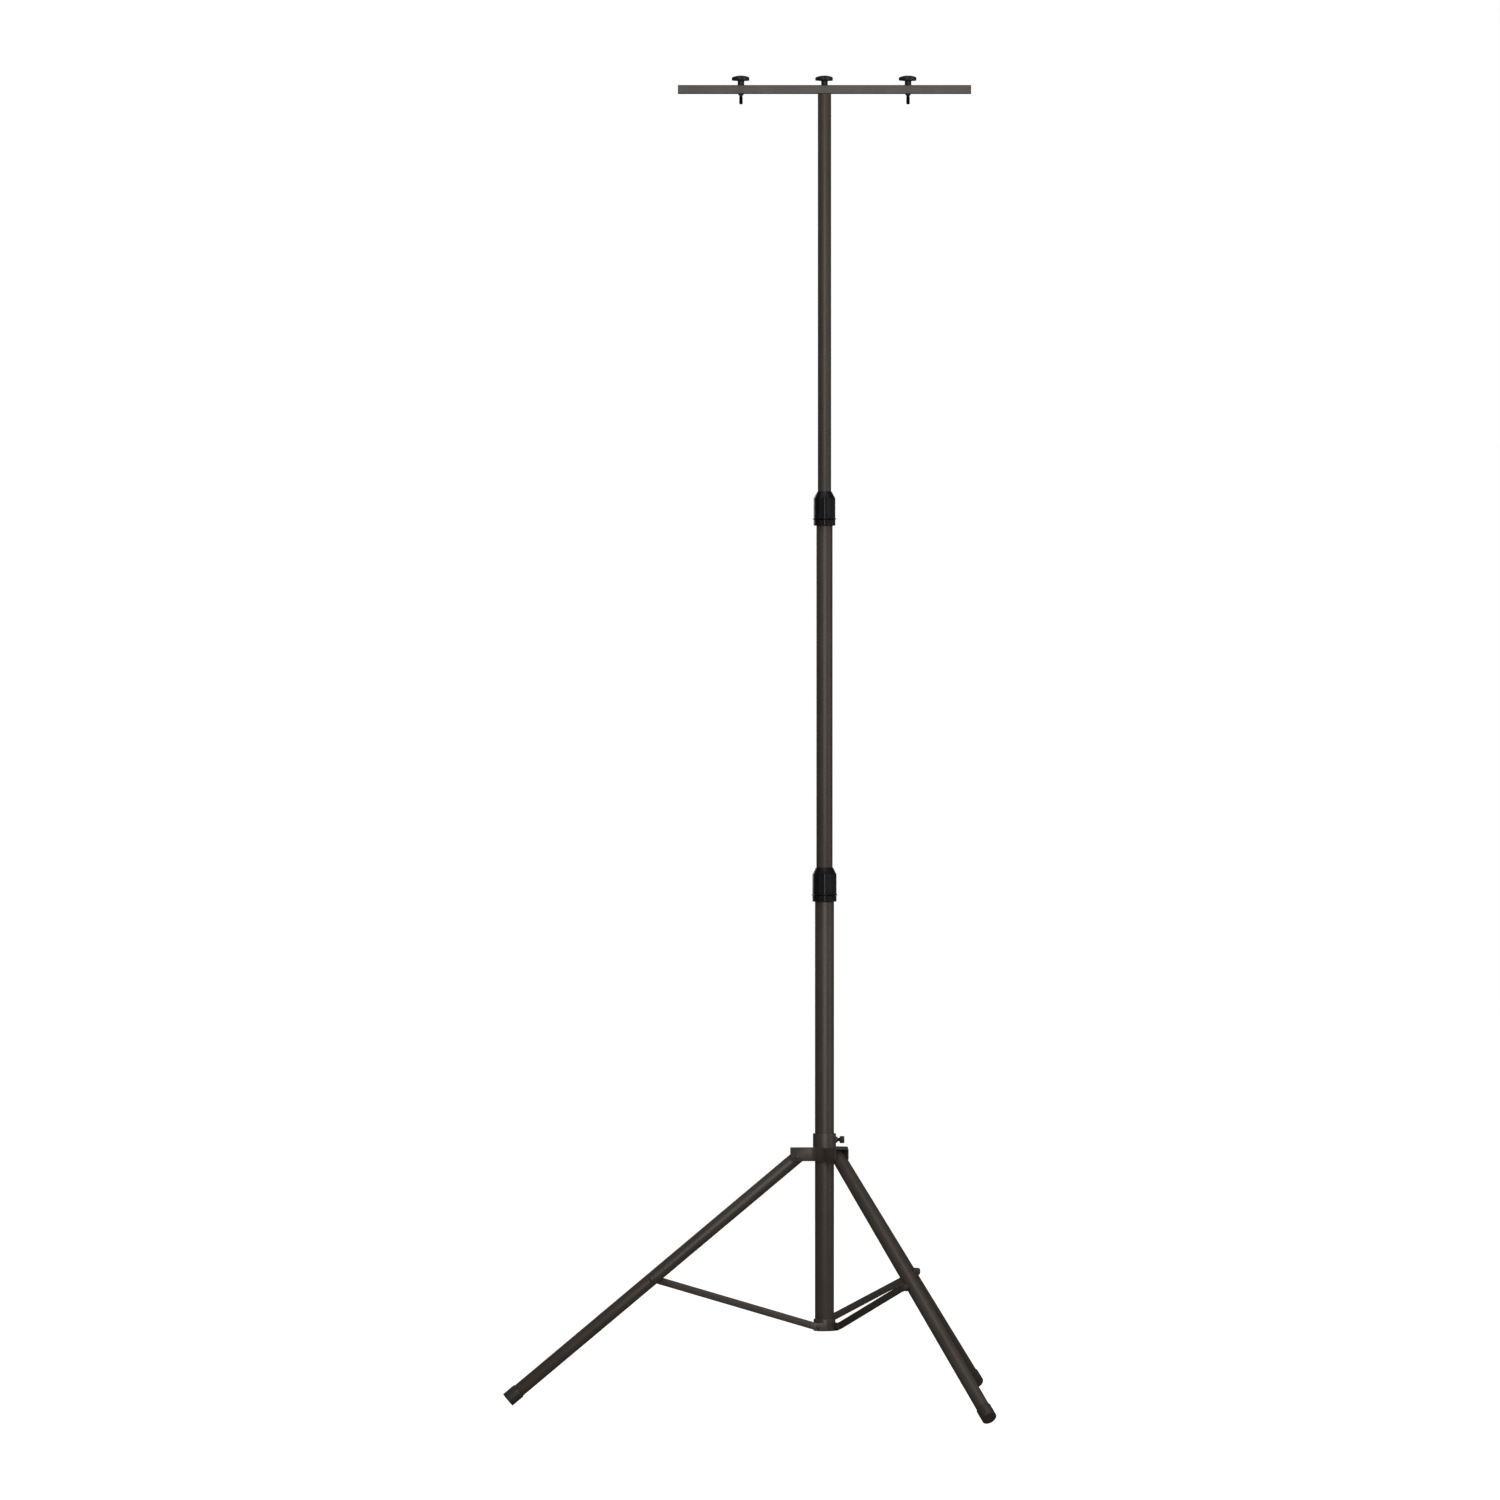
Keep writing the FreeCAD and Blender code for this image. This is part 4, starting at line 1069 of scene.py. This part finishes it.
@dataclass
class TBar:
    """The square bar on top, with its plugs."""

    wall: float = 1.5
    corner: float = 1.6
    plug_round: float = 0.5
    plug_depth: float = 12.0
    inner_corner: float = 0.4

    def build(self) -> None:
        """Build the bar and its plugs."""
        span = Span.of("t_bar")
        side = span.high.z - span.low.z
        lay = Matrix.Translation((0, 0, span.centre.z)) @ Matrix.Rotation(math.pi / 2, 4, "Y")
        half = (span.high.x - span.low.x) / 2
        bar = bmesh.new()
        outer = [bar.verts.new((x, y, -half)) for x, y in square_outline(side, self.corner)]
        inner_side = side - 2 * self.wall
        inner = [bar.verts.new((x, y, -half))
                 for x, y in square_outline(inner_side, self.inner_corner)]
        loops = []
        for ring in (outer, inner):
            loops += [bar.edges.new(pair) for pair in zip(ring, ring[1:] + ring[:1])]
        bmesh.ops.bridge_loops(bar, edges=loops)
        grown = bmesh.ops.extrude_face_region(bar, geom=bar.faces[:], use_keep_orig=True)
        far = [item for item in grown["geom"] if isinstance(item, bmesh.types.BMVert)]
        bmesh.ops.translate(bar, verts=far, vec=(0, 0, 2 * half))
        # The bar takes the paler copy of the coat, which paints light onto its flat faces.
        Bench.put("t_bar_skin", mend(bar), Coating.UMBER_POWDER_PAINTED_LIT, "bar", ["t_bar"], lay)
        plugs = bmesh.new()
        ends = Span.of("bar_plugs")
        thick = ends.high.x - span.high.x
        for sign in (-1, 1):
            plate = prism(square_outline(side, self.corner), half, half + thick)
            soften(plate, self.plug_round, 3, lambda edge: edge.verts[0].co.z > half + thick - 0.01
                   and edge.verts[1].co.z > half + thick - 0.01)
            tail = prism(square_outline(inner_side - 0.1, self.inner_corner),
                         half - self.plug_depth, half)
            add_mesh(plate, tail)
            turn = Matrix.Rotation(0 if sign > 0 else math.pi, 4, "X")
            add_mesh(plugs, plate, turn)
        Bench.put("bar_plugs_skin", plugs, Coating.BLACK_KNOB, "bar", ["bar_plugs"], lay)


@dataclass
class Knob:
    """A lobed knob with its bolt, and the collar under the bar where it has one."""

    name: str
    bolt: str
    body: str
    collar: str | None = None
    lobes: int = 5
    tip: float = 19.4
    valley: float = 15.6
    neck: float = 6.9
    neck_height: float = 9.7
    rim: float = 6.7
    dome: float = 3.8
    groove: float = 3.4
    groove_length: float = 1.2

    def build(self) -> None:
        """Build the head, the bolt and the collar."""
        span = Span.of(self.name)
        bolt = Span.of(self.bolt)
        centre = bolt.centre
        deck = span.low.z
        place = Matrix.Translation((centre.x, centre.y, deck))
        Bench.put(f"{self.name}_skin", self.head(), Coating.BLACK_KNOB, self.body, [self.name],
                  place)
        # The shank starts under the collar; the bolt in the mast has no collar, but the same shank.
        shoulder = Span.of("lamp_collar_left").low.z
        thread_top = shoulder - self.groove_length
        rod = threaded_rod(bolt.radius, bolt.low.z, thread_top, blunt=1.8)
        start = thread_top - 0.2
        shank = lathe(((0.0, start), (self.groove, start), (self.groove, shoulder),
                       (bolt.radius, shoulder), (bolt.radius, bolt.high.z), (0.0, bolt.high.z)),
                      ROD_STEPS, closed=False)
        add_mesh(rod, shank)
        Bench.put(f"{self.bolt}_skin", rod, Coating.BLACK_OXIDE_STEEL, self.body, [self.bolt],
                  Matrix.Translation((centre.x, centre.y, 0)))
        if self.collar is not None:
            self.build_collar(centre)

    def build_collar(self, centre: Vector) -> None:
        """Build the conical collar that keeps the bolt in the bar.

        Args:
            centre: A point on the bolt's axis.
        """
        span = Span.of(self.collar)
        low, high = span.low.z, span.high.z
        outline = ((4.05, low), (5.0, low), (span.radius, high - 0.8), (span.radius, high),
                   (4.05, high))
        ring = soften(lathe(outline, PIN_STEPS), 0.25, 2)
        Bench.put(f"{self.collar}_skin", ring, Coating.BLACK_KNOB, self.body, [self.collar],
                  Matrix.Translation((centre.x, centre.y, 0)))

    def reach(self, angle: float) -> float:
        """Give the head's radius in one direction, lobes and valleys.

        Args:
            angle: Direction from the knob's axis; one lobe points along -X.

        Returns:
            The radius.
        """
        swing = math.cos((angle - math.pi) * self.lobes / 2)
        soft = math.sqrt((swing ** 2 + 0.02) / 1.02) ** 0.9
        return self.valley + (self.tip - self.valley) * soft

    def head(self) -> bmesh.types.BMesh:
        """Make the domed, lobed head and its neck, standing on the bar at height zero.

        Returns:
            The head.
        """
        foot = self.neck_height
        rim = foot + self.rim
        wide = self.tip
        outline = [(0.0, 0.0), (self.neck - 0.4, 0.0), (self.neck, 0.4), (self.neck, foot - 1.6),
                   (self.neck + 0.5, foot - 0.5), (self.neck + 1.8, foot), (12.0, foot),
                   (wide - 1.6, foot), (wide - 0.6, foot + 0.4), (wide - 0.1, foot + 1.4),
                   (wide, foot + 2.6), (wide, rim - 2.2), (wide - 0.3, rim - 0.9),
                   (wide - 1.2, rim + 0.1)]
        for radius, height in dome_points(wide - 2.6, self.dome - 0.9, rim + 0.9, 12):
            outline.append((radius, height))
        mesh = lathe(outline, 200, closed=False)

        def lobe(spot: Vector) -> Vector:
            radius = math.hypot(spot.x, spot.y)
            if radius < self.neck + 2.5:
                return spot
            weight = min(1.0, (radius - self.neck - 2.0) / 6.0)
            weight = weight * weight * (3 - 2 * weight)
            target = self.reach(math.atan2(spot.y, spot.x)) / self.tip
            scale = 1 - weight * (1 - target)
            return Vector((spot.x * scale, spot.y * scale, spot.z))

        return reshape(mesh, lobe)


# --- Studio ------------------------------------------------------------------------------------


@dataclass
class Studio:
    """Pale floor, soft light and the camera."""

    eye: tuple[float, float, float] = (-0.156, -20.73, 1.373)
    lens_mm: float = 237.5
    floor_size: float = 60.0
    backdrop: str = "#FFFFFF"

    def build(self) -> None:
        """Build the stage."""
        self.build_floor()
        self.build_world()
        self.build_lights()
        self.build_camera()

    def build_floor(self) -> None:
        """Lay the pale floor."""
        mesh = bmesh.new()
        bmesh.ops.create_grid(mesh, x_segments=1, y_segments=1, size=self.floor_size / 2)
        data = bpy.data.meshes.new("studio_floor")
        mesh.to_mesh(data)
        mesh.free()
        floor = bpy.data.objects.new("studio_floor", data)
        bpy.context.scene.collection.objects.link(floor)
        paint = bpy.data.materials.new("pale_floor")
        paint.use_nodes = True
        tree = paint.node_tree
        tree.nodes.clear()
        shader = add_node(tree, "ShaderNodeBsdfPrincipled",
                          {"Base Color": linear("#8A8A8A"), "Roughness": 0.9,
                           "Emission Color": linear("#FFFFFF"), "Emission Strength": 1.0}, {})
        add_node(tree, "ShaderNodeOutputMaterial", {}, {"Surface": shader.outputs["BSDF"]})
        data.materials.append(paint)
        # The floor shows pale but sends no light back, so the undersides stay dark.
        floor.visible_diffuse = False
        floor.visible_glossy = False

    def build_world(self) -> None:
        """Show a pale backdrop, and light the stand from it only softly."""
        world = bpy.data.worlds.new("studio")
        bpy.context.scene.world = world
        world.use_nodes = True
        tree = world.node_tree
        tree.nodes.clear()
        seen = add_node(tree, "ShaderNodeLightPath", {}, {})
        shown = add_node(tree, "ShaderNodeBackground",
                         {"Color": linear(self.backdrop), "Strength": 1.0}, {})
        soft = add_node(tree, "ShaderNodeBackground",
                        {"Color": linear("#E6E6E6"), "Strength": 0.11}, {})
        both = add_node(tree, "ShaderNodeMixShader", {}, {"Fac": seen.outputs["Is Camera Ray"]})
        tree.links.new(soft.outputs["Background"], both.inputs[1])
        tree.links.new(shown.outputs["Background"], both.inputs[2])
        add_node(tree, "ShaderNodeOutputWorld", {}, {"Surface": both.outputs["Shader"]})

    def build_lights(self) -> None:
        """Hang the soft boxes."""
        boxes = (("key", (0.5, -6.0, 2.3), 2.2, 5.6, 170.0),
                 ("side", (4.5, -1.5, 1.6), 1.0, 4.0, 30.0),
                 ("top", (0.0, -1.0, 6.5), 4.0, 4.0, 60.0),
                 ("back", (-2.5, 7.0, 3.0), 4.0, 4.0, 60.0))
        for name, spot, width, height, watts in boxes:
            lamp = bpy.data.lights.new(name, "AREA")
            lamp.shape = "RECTANGLE"
            lamp.size = width
            lamp.size_y = height
            lamp.energy = watts
            item = bpy.data.objects.new(name, lamp)
            item.location = spot
            item.visible_camera = False
            aim = Vector((0, 0, 1.4)) - Vector(spot)
            item.rotation_euler = aim.to_track_quat("-Z", "Y").to_euler()
            bpy.context.scene.collection.objects.link(item)

    def build_camera(self) -> None:
        """Place the camera, level, in front of the stand."""
        data = bpy.data.cameras.new("camera")
        data.lens = self.lens_mm
        data.sensor_width = 36.0
        data.clip_end = 200.0
        camera = bpy.data.objects.new("camera", data)
        camera.location = self.eye
        camera.rotation_euler = (math.pi / 2, 0, 0)
        bpy.context.scene.collection.objects.link(camera)
        bpy.context.scene.camera = camera
        bpy.context.scene.view_settings.view_transform = "Standard"


def main() -> None:
    """Build the stand, sub-assembly by sub-assembly, and its stage."""
    logging.basicConfig(level=logging.INFO, format="%(message)s")
    Mast().build()
    TwistLock("lower", "mast_base", "lower_nut", "mid_tube").build()
    TwistLock("upper", "mid_mast", "upper_nut", "top_tube").build()
    Hub().build()
    for number in (1, 2, 3):
        Leg(number).build()
        Strut(number).build()
    TBar().build()
    Knob("bar_knob", "bar_bolt", "bar_screw").build()
    for side in ("left", "right"):
        Knob(f"lamp_knob_{side}", f"lamp_bolt_{side}", f"lamp_screw_{side}",
             f"lamp_collar_{side}").build()
    Studio().build()


if __name__ == "__main__":
    main()
